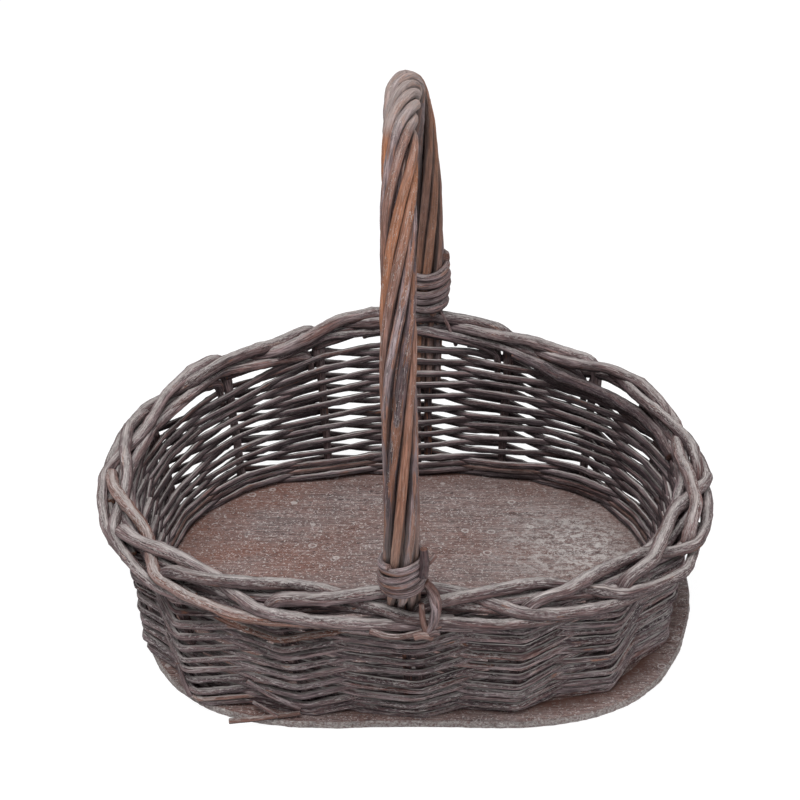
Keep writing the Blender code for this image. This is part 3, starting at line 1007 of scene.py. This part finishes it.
# How far from its way a border rod strays, out or in and up or down
STAKE_STRAY = (0.0008, 0.0009)
COMPANION_STRAY = (0.0008, 0.0010)
# Where a thinner rod goes in beside its stake, in stake spacings at its foot and in the border
COMPANION_STEPS = (0.10, 0.12)


def grow_stake(work, wall, index, chance):
    """One stake, up through the weave and over into the border to its cut tip."""
    sizes = wall.settings.wall
    top = wall.rim_height(wall.stake_share(index, RIM_LEVEL))
    thick = sizes.border_radius * chance.uniform(*STAKE_THICKNESS)
    knots = []
    for height in STAKE_HEIGHTS + (top - STAKE_BEND_DROP,):
        knots.append(wall.point(wall.stake_share(index, height), height))
    radii = [sizes.stake_radius] * len(knots)
    tip_length = chance.uniform(*TIP_LENGTH)
    for travel, outward, rise in BORDER_WAY:
        if travel > TIP_START:
            travel = TIP_START + (travel - TIP_START) * tip_length
        shake = chance.uniform(-STAKE_STRAY[0], STAKE_STRAY[0])
        drop = chance.uniform(-STAKE_STRAY[1], STAKE_STRAY[1])
        knots.append(wall.border_point(index + travel, outward + shake, rise + drop))
        radii.append(thick * (STAKE_TAPER[0] - STAKE_TAPER[1] * travel))
    path, radii = smooth_way(knots, radii)
    tone = BORDER_TONES.get(index, chance.uniform(0.1, 0.8))
    bare = STAKE_BARENESS[0] if chance.random() < BARE_STAKES else STAKE_BARENESS[1]
    lit_side = [wall.outward(point) * STAKE_LIT_SIDE for point in path]
    grow_rod(
        work, path, radii, STAKE_SEED + index, tone, bare=bare, sides=10, lumps=0.20,
        lit_side=lit_side)


def smooth_way(knots, radii):
    """A border rod's path through its knots, with its radius at every point of the path."""
    path = soften(stepped(knots, PATH_STEP), 3)
    spans = lengths_along(knots)
    walked = lengths_along(path)
    ratio = spans[-1] / walked[-1]
    widths = []
    for distance in walked:
        low, t = between(spans, min(distance * ratio, spans[-1]))
        widths.append(blend(radii[low], radii[low + 1], t))
    return end_rings(path, widths)


def grow_companion(work, wall, index, chance):
    """Two thinner rods pushed in beside the stake: one lies in the border's middle, one inside."""
    sizes = wall.settings.wall
    share = wall.stake_share(index, RIM_LEVEL) + COMPANION_STEPS[0] / STAKE_COUNT
    top = wall.rim_height(share)
    for number, way in enumerate((COMPANION_WAY, INNER_WAY)):
        if number in MISSING_RODS.get(index, ()):
            continue
        knots = [wall.point(share, top - drop) for drop in COMPANION_DROPS]
        radii = [sizes.stake_radius * COMPANION_FOOT] * len(knots)
        thick = sizes.border_radius * chance.uniform(*COMPANION_THICKNESS)
        for travel, outward, rise in way:
            lift = chance.uniform(-COMPANION_STRAY[1], COMPANION_STRAY[1])
            out = outward + chance.uniform(-COMPANION_STRAY[0], COMPANION_STRAY[0])
            position = index + COMPANION_STEPS[1] + travel
            knots.append(wall.border_point(position, out, rise + lift))
            radii.append(thick * (1.0 - COMPANION_TAPER * travel))
        path, radii = smooth_way(knots, radii)
        lit_side = [wall.outward(point) * COMPANION_LIT_SIDE for point in path]
        tone = chance.uniform(0.1, 0.9)
        seed = COMPANION_SEED + index + 20 * number
        grow_rod(work, path, radii, seed, tone, sides=8, lumps=0.20, lit_side=lit_side)


class BASKET_OT_weave(bpy.types.Operator):
    """Weave the paired rows round the stakes"""

    bl_idname = "basket.weave"
    bl_label = "Weave"

    def execute(self, context):
        wall = Wall(context.scene.basket)
        bark = willow_bark(
            "weathered_willow_weave", wall.settings.colours, bare_share=-0.02, wash_and_highlight=0.64,
            highlight_line=1.9)
        for row in range(wall.settings.wall.rows):
            for partner in (0, 1):
                work = new_rod_mesh()
                grow_weavers(work, wall, row, partner)
                letter = "ab"[partner]
                name = f"woven_rods_{row + 1:02d}_{letter}"
                nodes = []
                if row != ADDED_ROW:
                    frame_row = row if row > ADDED_ROW else row + 1
                    nodes = [f"weaver_{frame_row:02d}_{letter}"]
                finish_piece(name, work, [bark], nodes)
        return {"FINISHED"}


# The row near the foot that the frame has no nodes for
ADDED_ROW = 1
# Space between a stake and the weaver that passes it
GAP = 0.0003
# Long and short waves in a row as it goes round, and how unevenly far out it passes the stakes
ROW_WAVE = 0.0030
ROW_QUIVER = 0.0013
ROW_SCATTER = 0.0020
# They are read from noise on circles, so that they close; on a wider circle they change faster
WAVE_CIRCLE = 2.2
QUIVER_CIRCLE = 9.0
# The lowest rows are held level, and waves and dips are full from this row on
FREE_ROW = 4.0
LOWEST_STOP = FIRST_ROW_HEIGHT - 0.0005
# The back: its reach either side of its middle and over what more it ends, as shares of the way
# round, and what is left there of a weaver's dip, turned over
BACK_HALF = 0.22
BACK_FADE = 0.14
BACK_DIP = -0.15
# How far a weaver runs over or under its partner where they cross, in parts of a row's pitch
CROSSING_RISE = 0.33
# The height up to which the front left corner bellies out fully, and that over which it ends
CORNER_BULGE_HEIGHT = 0.020
CORNER_BULGE_FADE = 0.050
RODS_PER_WEAVER = 3
WEAVER_STEP = 0.0032
# How far a rod's butt and tip run on past the stake where they end, in shares round the wall
BUTT_OVERLAP = (0.012, 0.020)
TIP_OVERLAP = (0.006, 0.014)
# Their thickness against the usual
BUTT_THICKNESS = (1.00, 1.40)
TIP_THICKNESS = (0.65, 0.95)
# No rod of the weave begins this near the middle of the back, where its butt would show inside
BACK_WITHOUT_BUTTS = 0.24
# A few rods of the weave lost bark: how many of all, and how bare they are
BARE_WEAVERS = 0.06
WEAVER_BARENESS = 0.35
# How far a rod's butt and tip are tucked in behind the others, and over what length
BUTT_TUCK = (0.0024, 0.016)
TIP_TUCK = (0.0020, 0.014)


def weaver_stops(wall, row, partner):
    """Where a weaver passes stakes: share round the wall, side (1 out, -1 in) and place."""
    sizes = wall.settings.wall
    reach = sizes.stake_radius + sizes.weaver_radius + GAP
    stops = []
    free = min(1.0, (row + 1) / FREE_ROW)
    for index in range(STAKE_COUNT):
        side = 1.0 if (index + row + partner) % 2 == 0 else -1.0
        level = wall.row_height(row, wall.stakes[index])
        shares = [wall.stake_share(index, level)]
        if index in (0, STAKE_COUNT // 2):
            shares.insert(0, shares[0] - wall.handle_step)
        for share in shares:
            turn = share * math.tau
            around = Vector((math.cos(turn), math.sin(turn), 0.0))
            warp = around * WAVE_CIRCLE + Vector((0.0, 0.0, row * 0.33))
            quiver = around * QUIVER_CIRCLE + Vector((0.0, 0.0, row * 5.0 + side))
            frontness = ease((abs(share % 1.0 - 0.5) - BACK_HALF) / BACK_FADE)
            dip = STOP_DROP * blend(BACK_DIP, 1.0, frontness)
            height = wall.row_height(row, share) - free * side * dip
            height += free * (ROW_WAVE * noise.noise(warp) + ROW_QUIVER * noise.noise(quiver))
            for place, slip in ROW_SAGS:
                nearby = nearness(share, place, ROW_SAG_SPREAD)
                height -= slip * nearby * (height / RIM_LEVEL) ** 2
            here, normal, _ = wall.frame(share, max(height, LOWEST_STOP))
            out = STAKE_BULGE + side * reach + ROW_SCATTER * noise.noise(quiver * 1.7)
            corner = math.exp(-((share - CORNER_BULGE_SHARE) / CORNER_BULGE_SPREAD) ** 2)
            low = 1.0 - ease((height - CORNER_BULGE_HEIGHT) / CORNER_BULGE_FADE)
            stops.append((share, side, here + normal * (out + CORNER_BULGE * corner * low)))
    share, side, place = stops[0]
    stops.append((share + 1.0, side, place))
    return stops


def weaver_point(wall, row, share, low, high):
    """A weaver's point between two stops: it runs straight to its partner and over or under it."""
    t = (share - low[0]) / (high[0] - low[0])
    point = low[2].lerp(high[2], t)
    if low[1] != high[1]:
        nearer = row if row else 1
        pitch = wall.row_height(nearer, share) - wall.row_height(nearer - 1, share)
        point.z += low[1] * pitch * CROSSING_RISE * (1.0 - abs(2.0 * t - 1.0))
    return point


def grow_weavers(work, wall, row, partner):
    """One weaver's way round the basket, as tapered rods that follow one another."""
    sizes = wall.settings.wall
    chance = random.Random(WEAVE_DRAWS + row * 7 + partner)
    stops = weaver_stops(wall, row, partner)
    starts = [stop[0] for stop in stops]
    inside = []
    for i, stop in enumerate(stops[:-1]):
        if stop[1] < 0 and abs(stop[0] - 0.5) > BACK_WITHOUT_BUTTS:
            inside.append(i)
    first = chance.randrange(len(inside))
    places = []
    for k in range(RODS_PER_WEAVER):
        places.append(inside[(first + k * len(inside) // RODS_PER_WEAVER) % len(inside)])
    places.sort()
    step = WEAVER_STEP / wall.foot.length
    for k, begin in enumerate(places):
        finish = places[(k + 1) % RODS_PER_WEAVER]
        start_share = stops[begin][0] - chance.uniform(*BUTT_OVERLAP)
        end_share = stops[finish][0] + chance.uniform(*TIP_OVERLAP)
        if end_share <= start_share:
            end_share += 1.0
        count = int((end_share - start_share) / step)
        path = []
        radii = []
        butt = sizes.weaver_radius * chance.uniform(*BUTT_THICKNESS)
        tip = sizes.weaver_radius * chance.uniform(*TIP_THICKNESS)
        for i in range(count + 1):
            share = blend(start_share, end_share, i / count)
            rest = share - math.floor(share - stops[0][0])
            low = min(max(bisect.bisect_right(starts, rest) - 1, 0), len(stops) - 2)
            point = weaver_point(wall, row, rest, stops[low], stops[low + 1])
            to_start = i * step * wall.foot.length
            to_end = (count - i) * step * wall.foot.length
            tuck = BUTT_TUCK[0] * (1.0 - ease(to_start / BUTT_TUCK[1]))
            tuck += TIP_TUCK[0] * (1.0 - ease(to_end / TIP_TUCK[1]))
            _, normal, _ = wall.frame(share, point.z)
            path.append(point - normal * tuck)
            radii.append(blend(butt, tip, i / count))
        path, radii = end_rings(soften(path, 1), radii, 0.0003)
        # The outer side counts as lit: inner faces of the weave take painted shade, outer ones more
        # wash and painted highlight, and a small bias to shade darkens undersides
        lit_side = [wall.outward(point) for point in path]
        seed = WEAVER_SEED + row * 10 + partner * 5 + k
        bare = WEAVER_BARENESS if chance.random() < BARE_WEAVERS else 0.0
        grow_rod(
            work, path, radii, seed, chance.random(), bare=bare, sides=7, lumps=0.26,
            cut_bare=0.1, lit_side=lit_side, shade_bias=0.12)


class BASKET_OT_handle(bpy.types.Operator):
    """Bend the bow and twist the rods round it"""

    bl_idname = "basket.handle"
    bl_label = "Bow Handle"

    def execute(self, context):
        wall = Wall(context.scene.basket)
        bark = willow_bark(
            "worn_willow_handle", wall.settings.colours, bare_share=0.12, wash_and_highlight=0.3)
        work = new_rod_mesh()
        grow_bow_stick(work, wall)
        finish_piece("handle_bow_stick", work, [bark], ["handle_core"])
        for index in range(STRAND_COUNT):
            work = new_rod_mesh()
            grow_strand(work, wall, index)
            name = f"handle_rod_{index + 1:02d}"
            node = f"handle_strand_{index + 1:02d}"
            finish_piece(name, work, [bark], [node])
        return {"FINISHED"}


# Heights that the bow's thinned ends pass in the weave
TAIL_HEIGHTS = (0.016, 0.040, 0.065, 0.085)
# The bow's radius there, at the rim and over the basket, and from where and over what length it
# thickens
BOW_RADII = (0.0024, 0.0025, 0.0050)
BOW_THICKENING = (0.010, 0.020)
# How far over the rim the bow's own points begin and end, and the runs between them
BOW_START = 0.004
BOW_RUNS = 60


def grow_bow_stick(work, wall):
    """The bow itself, with both thinned ends down in the weave beside the middle stakes."""
    share = wall.stakes[0] - wall.handle_step
    path = [wall.point(share, height) for height in TAIL_HEIGHTS]
    radii = [BOW_RADII[0]] * len(TAIL_HEIGHTS)
    for i in range(BOW_RUNS + 1):
        distance = blend(BOW_START, wall.bow_length - BOW_START, i / BOW_RUNS)
        path.append(wall.bow_frame(distance)[0])
        near = min(distance, wall.bow_length - distance)
        thicker = ease((near - BOW_THICKENING[0]) / BOW_THICKENING[1])
        radii.append(blend(BOW_RADII[1], BOW_RADII[2], thicker))
    share = wall.stakes[STAKE_COUNT // 2] - wall.handle_step
    path += [wall.point(share, height) for height in reversed(TAIL_HEIGHTS)]
    radii += [BOW_RADII[0]] * len(TAIL_HEIGHTS)
    path, radii = end_rings(path, radii)
    grow_rod(work, path, radii, BOW_SEED, 0.0, sides=8)


# Seven of the ten twisted rods lie side by side round the bow and three underneath them: each
# one's place among its own kind, how bare of bark it is and its tone
STRANDS = (
    (0, True, 1.00, 0.60),
    (0, False, 0.30, 0.30),
    (1, True, 0.90, 0.45),
    (2, True, 0.00, 0.95),
    (1, False, 0.30, 0.30),
    (3, True, 0.00, 0.10),
    (4, True, 1.00, 0.70),
    (2, False, 0.30, 0.30),
    (5, True, 0.05, 0.75),
    (6, True, 0.40, 0.40),
)

# How far the twisted rods run on past the rim at the front and at the back
STRAND_REACH = (0.020, 0.036)
STRAND_STEP = 0.0036
# Radius of the rings in which they lie round the bow
OUTER_RING = 0.0067
INNER_RING = 0.0034
# Thickness of the outer and the inner ones against the usual, and how much it varies along each
STRAND_THICKNESS = (1.26, 0.90)
STRAND_SWELL = 0.16
# How unevenly they lie: out from the bow, round it by turns for a whole rod, and round it by
# radians along the rod
STRAND_SCATTER = 0.0010
STRAND_DRIFT = 0.012
STRAND_WANDER = 0.12
# Under the rim the rods draw in: over what length, how deep the ring is there and how thin they are
DRAWN_IN = 0.014
DRAWN_DEPTH = 0.25
DRAWN_THICKNESS = 0.78
# How dusty a rod is anywhere, more by how much near the front foot, by how much the back arm is
# made paler as painted light where it lies in shade, and how dusty at the grip; where the dust near
# the foot ends and over what length, and where the back arm begins as a part of the bow and over
# what length
STRAND_DUST_AND_LIGHT = (0.04, 0.36, 0.16, 0.70)
FOOT_DUST_END = (0.080, 0.050)
BACK_ARM = (0.58, 0.03)
# What is left of a rod's bareness at the grip and low on the front arm, where that part of the
# arm ends and over what length, and how much the bareness varies
BARENESS_LEFT = (0.15, 0.85)
LOW_ARM_END = (0.14, 0.08)
BARENESS_CHANGE = (0.90, 0.7)


def grow_strand(work, wall, index):
    """One twisted rod, from inside the border, up through the binding and over the bow."""
    handle = wall.settings.handle
    place, outermost, bareness, tone = STRANDS[index]
    neighbours = sum(1 for strand in STRANDS if strand[1] == outermost)
    chance = random.Random(STRAND_DRAWS + index)
    start = -STRAND_REACH[0]
    end = wall.bow_length + STRAND_REACH[1]
    steps = int((end - start) / STRAND_STEP)
    path = []
    radii = []
    bare = []
    dust_and_light = []
    lit_side = []
    drift = chance.uniform(-STRAND_DRIFT, STRAND_DRIFT)
    for i in range(steps + 1):
        distance = blend(start, end, i / steps)
        near = min(distance, wall.bow_length - distance)
        here, side, other, _ = wall.bow_frame(distance)
        wander = STRAND_WANDER * noise_at(distance * 12.0, index * 4.0, 0.0)
        angle = math.tau * (place / neighbours + wall.bow_turns(distance) + drift) + wander
        grip = within(distance, GRIP)
        ring = OUTER_RING if outermost else INNER_RING
        ring += STRAND_SCATTER * noise_at(distance * 18.0, index * 9.0, 5.0)
        below = 1.0 - ease(near / DRAWN_IN)
        wide = ring * blend(1.0, 1.05, below)
        deep = ring * blend(1.0, DRAWN_DEPTH, below)
        path.append(here + side * (math.cos(angle) * wide) + other * (math.sin(angle) * deep))
        # Facing away from the bow counts as lit: with the strong bias to shade given below, painted
        # shade darkens the crevices between the twisted rods
        lit_side.append((side * math.cos(angle) + other * math.sin(angle)) * 1.8)
        swell = 1.0 + STRAND_SWELL * noise_at(distance * 5.0, index * 2.0, 8.0)
        swell *= STRAND_THICKNESS[0] if outermost else STRAND_THICKNESS[1]
        radii.append(handle.strand_radius * swell * blend(1.0, DRAWN_THICKNESS, below))
        worn = noise_at(distance * 9.0, index * 3.1, 2.0)
        behind = ease((distance - wall.bow_length * BACK_ARM[0]) / BACK_ARM[1])
        low = ease((LOW_ARM_END[0] - distance) / LOW_ARM_END[1])
        share = bareness * blend(1.0, BARENESS_LEFT[0], grip) * blend(1.0, BARENESS_LEFT[1], low)
        worn_off = share * (BARENESS_CHANGE[0] + BARENESS_CHANGE[1] * worn)
        bare.append(min(1.0, max(0.0, worn_off)))
        dust_and_light_share = STRAND_DUST_AND_LIGHT[0]
        dust_and_light_share += STRAND_DUST_AND_LIGHT[1] * ease((FOOT_DUST_END[0] - distance) / FOOT_DUST_END[1])
        # Painted light: the back arm, which lies in shade, is made paler with the dust colour
        dust_and_light_share += STRAND_DUST_AND_LIGHT[2] * behind
        dust_and_light.append(blend(dust_and_light_share, STRAND_DUST_AND_LIGHT[3], grip))
    path, radii = end_rings(path, radii)
    bare = [bare[0]] + bare + [bare[-1]]
    dust_and_light = [dust_and_light[0]] + dust_and_light + [dust_and_light[-1]]
    lit_side = [lit_side[0]] + lit_side + [lit_side[-1]]
    grow_rod(
        work, path, radii, STRAND_SEED + index, tone, bare=bare, dust_and_light=dust_and_light, sides=10,
        lit_side=lit_side, shade_bias=1.1)


class BASKET_OT_bindings(bpy.types.Operator):
    """Bind both feet of the handle"""

    bl_idname = "basket.bindings"
    bl_label = "Bindings"

    def execute(self, context):
        wall = Wall(context.scene.basket)
        bark = willow_bark(
            "grey_willow_binding", wall.settings.colours, bare_share=0.06, wash_and_highlight=0.60, highlight_line=0.3)
        for name, node, at_front in (
            ("binding_rod_front", "binding_front", True),
            ("binding_rod_back", "binding_back", False),
        ):
            work = new_rod_mesh()
            grow_binding(work, wall, at_front)
            finish_piece(name, work, [bark], [node])
        return {"FINISHED"}


POINTS_PER_TURN = 30
BINDING_TURNS = 5.6
BINDING_RING = 0.0108
# For the front and the back: the rod's rise in a turn, where it starts over the rim, its radius
# and the angle that it starts from
FRONT_BINDING = (0.0040, 0.0150, 0.0022, 0.3)
BACK_BINDING = (0.0056, 0.0130, 0.0027, 2.6)
# How much turns slip along the foot, belly in the middle and stand off unevenly
BINDING_SLIP = 0.0030
BINDING_BELLY = 0.0010
BINDING_SCATTER = 0.0010
# How far turns tilt along the foot: the front's first and last ones, and the back's
FRONT_TILT = (0.0005, 0.0042)
BACK_TILT = -0.0030
# How much the rod's thickness varies
BINDING_SWELL = 0.22


def grow_binding(work, wall, at_front):
    """A thin soft rod wound up the foot, a little unevenly; the front one has its tail let down."""
    rise, start, thick, first_angle = FRONT_BINDING if at_front else BACK_BINDING
    seed = BINDING_SEED + int(at_front)
    path = []
    facing = []
    lit_side = []
    if at_front:
        for point in BINDING_TAIL:
            path.append(Vector(point) * MM)
            facing.append(Vector((0.4, -1.0, 0.0)))
            lit_side.append(Vector((0.2, -0.6, 0.4)))
    for i in range(int(BINDING_TURNS * POINTS_PER_TURN) + 1):
        turn = i / POINTS_PER_TURN
        slip = noise_at(turn * 1.9, 3.0, seed)
        distance = start + turn * rise + BINDING_SLIP * slip
        if not at_front:
            distance = wall.bow_length - distance
        here, side, other, tangent = wall.bow_frame(distance)
        angle = math.tau * turn + first_angle
        out = side * math.cos(angle) + other * math.sin(angle)
        ring = BINDING_RING + BINDING_BELLY * math.sin(math.pi * turn / BINDING_TURNS)
        ring += BINDING_SCATTER * noise_at(turn * 2.7, 0.0, start)
        tilt = blend(*FRONT_TILT, turn / BINDING_TURNS) if at_front else BACK_TILT
        lean = tangent * (tilt * math.cos(angle + 0.4))
        path.append(here + out * ring + lean)
        facing.append(out)
        lit_side.append(out)
    path = soften(path, 1)
    radii = []
    for i in range(len(path)):
        radii.append(thick * (1.0 + BINDING_SWELL * noise_at(i * 0.11, 2.0, seed)))
    # Facing out counts as lit, and the bias to shade paints shade between the turns
    grow_rod(
        work, path, radii, seed, 0.83, dust_and_light=0.05, sides=10, facing=facing, flat=0.8,
        lumps=0.20, cut_bare=0.3, lit_side=lit_side, shade_bias=0.55)


# The front binding's tail, in millimetres from its lower end to the first turn
BINDING_TAIL = (
    (9.5, -146.0, 90.0),
    (13.0, -146.0, 94.0),
    (15.0, -144.8, 99.0),
    (15.5, -143.0, 106.0),
    (14.0, -141.0, 114.0),
)


class BASKET_OT_loose_ends(bpy.types.Operator):
    """Add the rod ends that stand out of the weave and the binding"""

    bl_idname = "basket.loose_ends"
    bl_label = "Loose Ends"

    def execute(self, context):
        bark = willow_bark(
            "weathered_willow_ends", context.scene.basket.colours, bare_share=-0.03, wash_and_highlight=0.8)
        work = new_rod_mesh()
        for number, (thickness, tone, bare, dirt, points) in enumerate(LOOSE_ENDS):
            knots = [Vector(point) * MM for point in points]
            path = soften(stepped(knots, LOOSE_END_STEP), 2)
            radius = thickness * 0.5 * MM
            radii = [
                radius * (1.0 - LOOSE_END_TAPER * i / len(path)) for i in range(len(path))]
            path, radii = end_rings(path, radii, 0.0003)
            # Each rod's painted shade comes from its entry; the first two take the most
            grow_rod(
                work, path, radii, LOOSE_END_SEED + number, tone, bare=bare, sides=8,
                lumps=0.14, cut_bare=0.3, shade_bias=dirt)
        finish_piece("loose_ends", work, [bark], [])
        return {"FINISHED"}


LOOSE_END_STEP = 0.002
# How much a loose end thins from its cut end on
LOOSE_END_TAPER = 0.15
# Loose ends in millimetres: the rod's thickness, tone, how bare it is, how much painted shade it
# takes, and its way from the cut end
LOOSE_ENDS = (
    (4.6, 0.1, 0.0, 0.5, ((66.0, 114.0, 92.0), (80.0, 108.0, 88.0), (93.0, 101.5, 85.5),
                          (107.0, 93.4, 84.0))),
    (8.4, 0.0, 0.0, 0.6, ((84.0, 106.0, 88.5), (93.0, 100.5, 85.5), (109.0, 91.5, 84.5),
                          (125.5, 78.0, 84.5), (141.0, 60.4, 85.0), (151.0, 41.5, 83.5),
                          (156.0, 26.0, 79.5))),
    (3.2, 0.3, 0.3, 0.0, ((-98.0, -121.5, 6.5), (-80.0, -119.5, 7.0), (-59.0, -117.0, 8.5))),
    (3.4, 0.9, 0.0, 0.0, ((-59.0, -115.5, 10.5), (-74.0, -113.5, 17.5), (-88.0, -109.0, 25.0))),
    (3.6, 0.5, 0.0, 0.0, ((-120.5, -103.5, 9.5), (-124.0, -102.5, 18.0), (-127.0, -98.0, 28.0))),
    (2.4, 0.9, 0.0, 0.0, ((-71.0, -119.5, 8.5), (-85.0, -112.0, 12.0))),
    (2.8, 0.3, 0.2, 0.0, ((15.0, -138.5, 138.5), (11.0, -141.0, 134.5), (4.0, -143.0, 131.0))),
    (5.2, 0.0, 0.0, 0.0, ((8.6, -145.6, 131.0), (9.2, -146.6, 139.0), (8.8, -146.2, 149.0))),
    (2.4, 0.9, 0.0, 0.0, ((31.4, 125.0, 92.0), (25.6, 126.0, 108.0), (20.5, 129.0, 117.0),
                          (14.0, 132.0, 122.0))),
    (3.8, 0.3, 0.2, 0.0, ((-19.0, -143.5, 91.5), (-11.0, -145.0, 89.0), (-3.0, -145.0, 88.5),
                          (6.0, -144.5, 91.0), (18.0, -142.5, 94.5))),
    (5.6, 0.9, 0.1, 0.0, ((12.5, -144.5, 92.0), (15.0, -142.5, 100.0), (16.0, -141.0, 108.0),
                          (14.0, -140.0, 116.0), (10.0, -140.0, 122.0))),
    (3.6, 0.3, 0.3, 0.0, ((10.5, -145.5, 93.0), (8.5, -144.0, 100.0), (8.0, -141.0, 108.0))),
    (4.4, 0.9, 0.4, 0.0, ((4.5, -147.0, 90.5), (9.5, -147.5, 92.5), (13.5, -147.0, 90.0))),
    (3.0, 0.3, 0.1, 0.0, ((11.0, -147.0, 90.0), (14.0, -147.5, 94.0), (17.0, -146.0, 92.5),
                          (16.0, -144.0, 88.5), (11.0, -143.5, 87.5))),
)


class BASKET_OT_stage(bpy.types.Operator):
    """Set up the floor, the lamps and the camera"""

    bl_idname = "basket.stage"
    bl_label = "Stage"

    def execute(self, context):
        scene = context.scene
        scene.view_settings.view_transform = "Standard"
        make_floor(scene)
        make_world(scene)
        make_lamps(scene)
        make_camera(scene)
        return {"FINISHED"}


STAGE_WHITE = 0xFFFFFF
FLOOR_GREY = 0xF7F7F7
AROUND_GREY = 0xF4F4F6
FLOOR_HALF_SIZE = 6.0
# How much of the floor's own shading gives way to white, and how bright that white is
FLOOR_WHITENESS = 0.88
FLOOR_GLOW = 1.08
AROUND_STRENGTH = 0.42

# Each lamp's name, place, the point that it faces, its size and its power in watts
LAMPS = (
    ("key_lamp", (-0.25, -0.55, 1.9), (0.0, 0.0, 0.08), 1.2, 34.0),
    ("fill_lamp", (1.5, -0.6, 1.0), (0.0, 0.0, 0.10), 1.0, 6.0),
)

# The camera looks down by this angle in radians, from this far away, at a point over the basket's
# middle, given by its x and z
CAMERA_TILT = 0.61564
CAMERA_REACH = 1.30094
CAMERA_AIM = (-0.003325, 0.138736)
CAMERA_SENSOR_MM = 36.0
CAMERA_LENS_MM = 103.70
CAMERA_CLIP_END = 50.0


def shows_background(tree):
    """1 for rays from the camera and for mirrored or refracted ones, which see the white."""
    path = add_node(tree, "ShaderNodeLightPath")
    seen = path.outputs["Is Camera Ray"]
    for kind in ("Is Glossy Ray", "Is Transmission Ray"):
        either = add_node(
            tree, "ShaderNodeMath", {"operation": "MAXIMUM", 0: seen, 1: path.outputs[kind]})
        seen = either.outputs["Value"]
    return seen


def make_floor(scene):
    """A pale floor that shows as white to the camera but keeps a little of the shadow."""
    work = bmesh.new()
    bmesh.ops.create_grid(work, x_segments=1, y_segments=1, size=FLOOR_HALF_SIZE)
    mesh = bpy.data.meshes.new("floor")
    work.to_mesh(mesh)
    work.free()
    floor = bpy.data.objects.new("floor", mesh)
    scene.collection.objects.link(floor)
    material, tree = new_material("pale_floor")
    matt = add_node(
        tree, "ShaderNodeBsdfPrincipled",
        {"Base Color": linear(FLOOR_GREY), "Roughness": 0.9, "Specular IOR Level": 0.1})
    glow = add_node(
        tree, "ShaderNodeEmission", {"Color": linear(STAGE_WHITE), "Strength": FLOOR_GLOW})
    mix = add_node(
        tree, "ShaderNodeMixShader",
        {0: share_of(tree, shows_background(tree), FLOOR_WHITENESS),
         1: matt.outputs["BSDF"], 2: glow.outputs["Emission"]})
    add_node(tree, "ShaderNodeOutputMaterial", {"Surface": mix.outputs["Shader"]})
    mesh.materials.append(material)


def make_world(scene):
    """Even soft light from all round, white where the camera sees it."""
    world = bpy.data.worlds.new("studio_white")
    scene.world = world
    world.use_nodes = True
    tree = world.node_tree
    tree.nodes.clear()
    around = add_node(
        tree, "ShaderNodeBackground",
        {"Color": linear(AROUND_GREY), "Strength": AROUND_STRENGTH})
    seen = add_node(
        tree, "ShaderNodeBackground", {"Color": linear(STAGE_WHITE), "Strength": 1.0})
    mix = add_node(
        tree, "ShaderNodeMixShader",
        {0: shows_background(tree), 1: around.outputs["Background"],
         2: seen.outputs["Background"]})
    add_node(tree, "ShaderNodeOutputWorld", {"Surface": mix.outputs["Shader"]})


def make_lamps(scene):
    """A wide soft lamp overhead, a little to the front left, and a weaker one at the right."""
    for name, place, aim, size, power in LAMPS:
        light = bpy.data.lights.new(name, "AREA")
        light.shape = "SQUARE"
        light.size = size
        light.energy = power
        lamp = bpy.data.objects.new(name, light)
        lamp.location = place
        direction = Vector(aim) - Vector(place)
        lamp.rotation_euler = direction.to_track_quat("-Z", "Y").to_euler()
        scene.collection.objects.link(lamp)


def make_camera(scene):
    """The camera of the photograph: 35 degrees above level, square to the long side."""
    data = bpy.data.cameras.new("photo_camera")
    data.sensor_width = CAMERA_SENSOR_MM
    data.lens = CAMERA_LENS_MM
    data.clip_end = CAMERA_CLIP_END
    camera = bpy.data.objects.new("photo_camera", data)
    level = CAMERA_REACH * math.cos(CAMERA_TILT)
    camera.location = (CAMERA_AIM[0], -level, CAMERA_AIM[1] + CAMERA_REACH * math.sin(CAMERA_TILT))
    camera.rotation_euler = (math.pi / 2 - CAMERA_TILT, 0.0, 0.0)
    scene.collection.objects.link(camera)
    scene.camera = camera


class BASKET_PT_panel(bpy.types.Panel):
    """The basket's pieces and sizes"""

    bl_idname = "BASKET_PT_panel"
    bl_label = "Oval Wicker Basket"
    bl_space_type = "VIEW_3D"
    bl_region_type = "UI"
    bl_category = "Basket"

    def draw(self, context):
        layout = self.layout
        settings = context.scene.basket
        for group in (settings.wall, settings.board, settings.handle, settings.colours):
            box = layout.box()
            for name in group.__annotations__:
                box.prop(group, name)
        for operator in OPERATORS:
            layout.operator(operator.bl_idname)


OPERATORS = (
    BASKET_OT_stage,
    BASKET_OT_base_board,
    BASKET_OT_side_rods,
    BASKET_OT_weave,
    BASKET_OT_handle,
    BASKET_OT_bindings,
    BASKET_OT_loose_ends,
)

GROUPS = (
    BasketWallSizes,
    BasketBoardSizes,
    BasketHandleSizes,
    BasketColours,
    BasketSettings,
)


def register():
    for cls in GROUPS + OPERATORS + (BASKET_PT_panel,):
        bpy.utils.register_class(cls)
    bpy.types.Scene.basket = PointerProperty(type=BasketSettings)


def unregister():
    del bpy.types.Scene.basket
    for cls in reversed(GROUPS + OPERATORS + (BASKET_PT_panel,)):
        bpy.utils.unregister_class(cls)


def main():
    register()
    bpy.ops.basket.stage()
    bpy.ops.basket.base_board()
    bpy.ops.basket.side_rods()
    bpy.ops.basket.weave()
    bpy.ops.basket.handle()
    bpy.ops.basket.bindings()
    bpy.ops.basket.loose_ends()


if __name__ == "__main__":
    main()
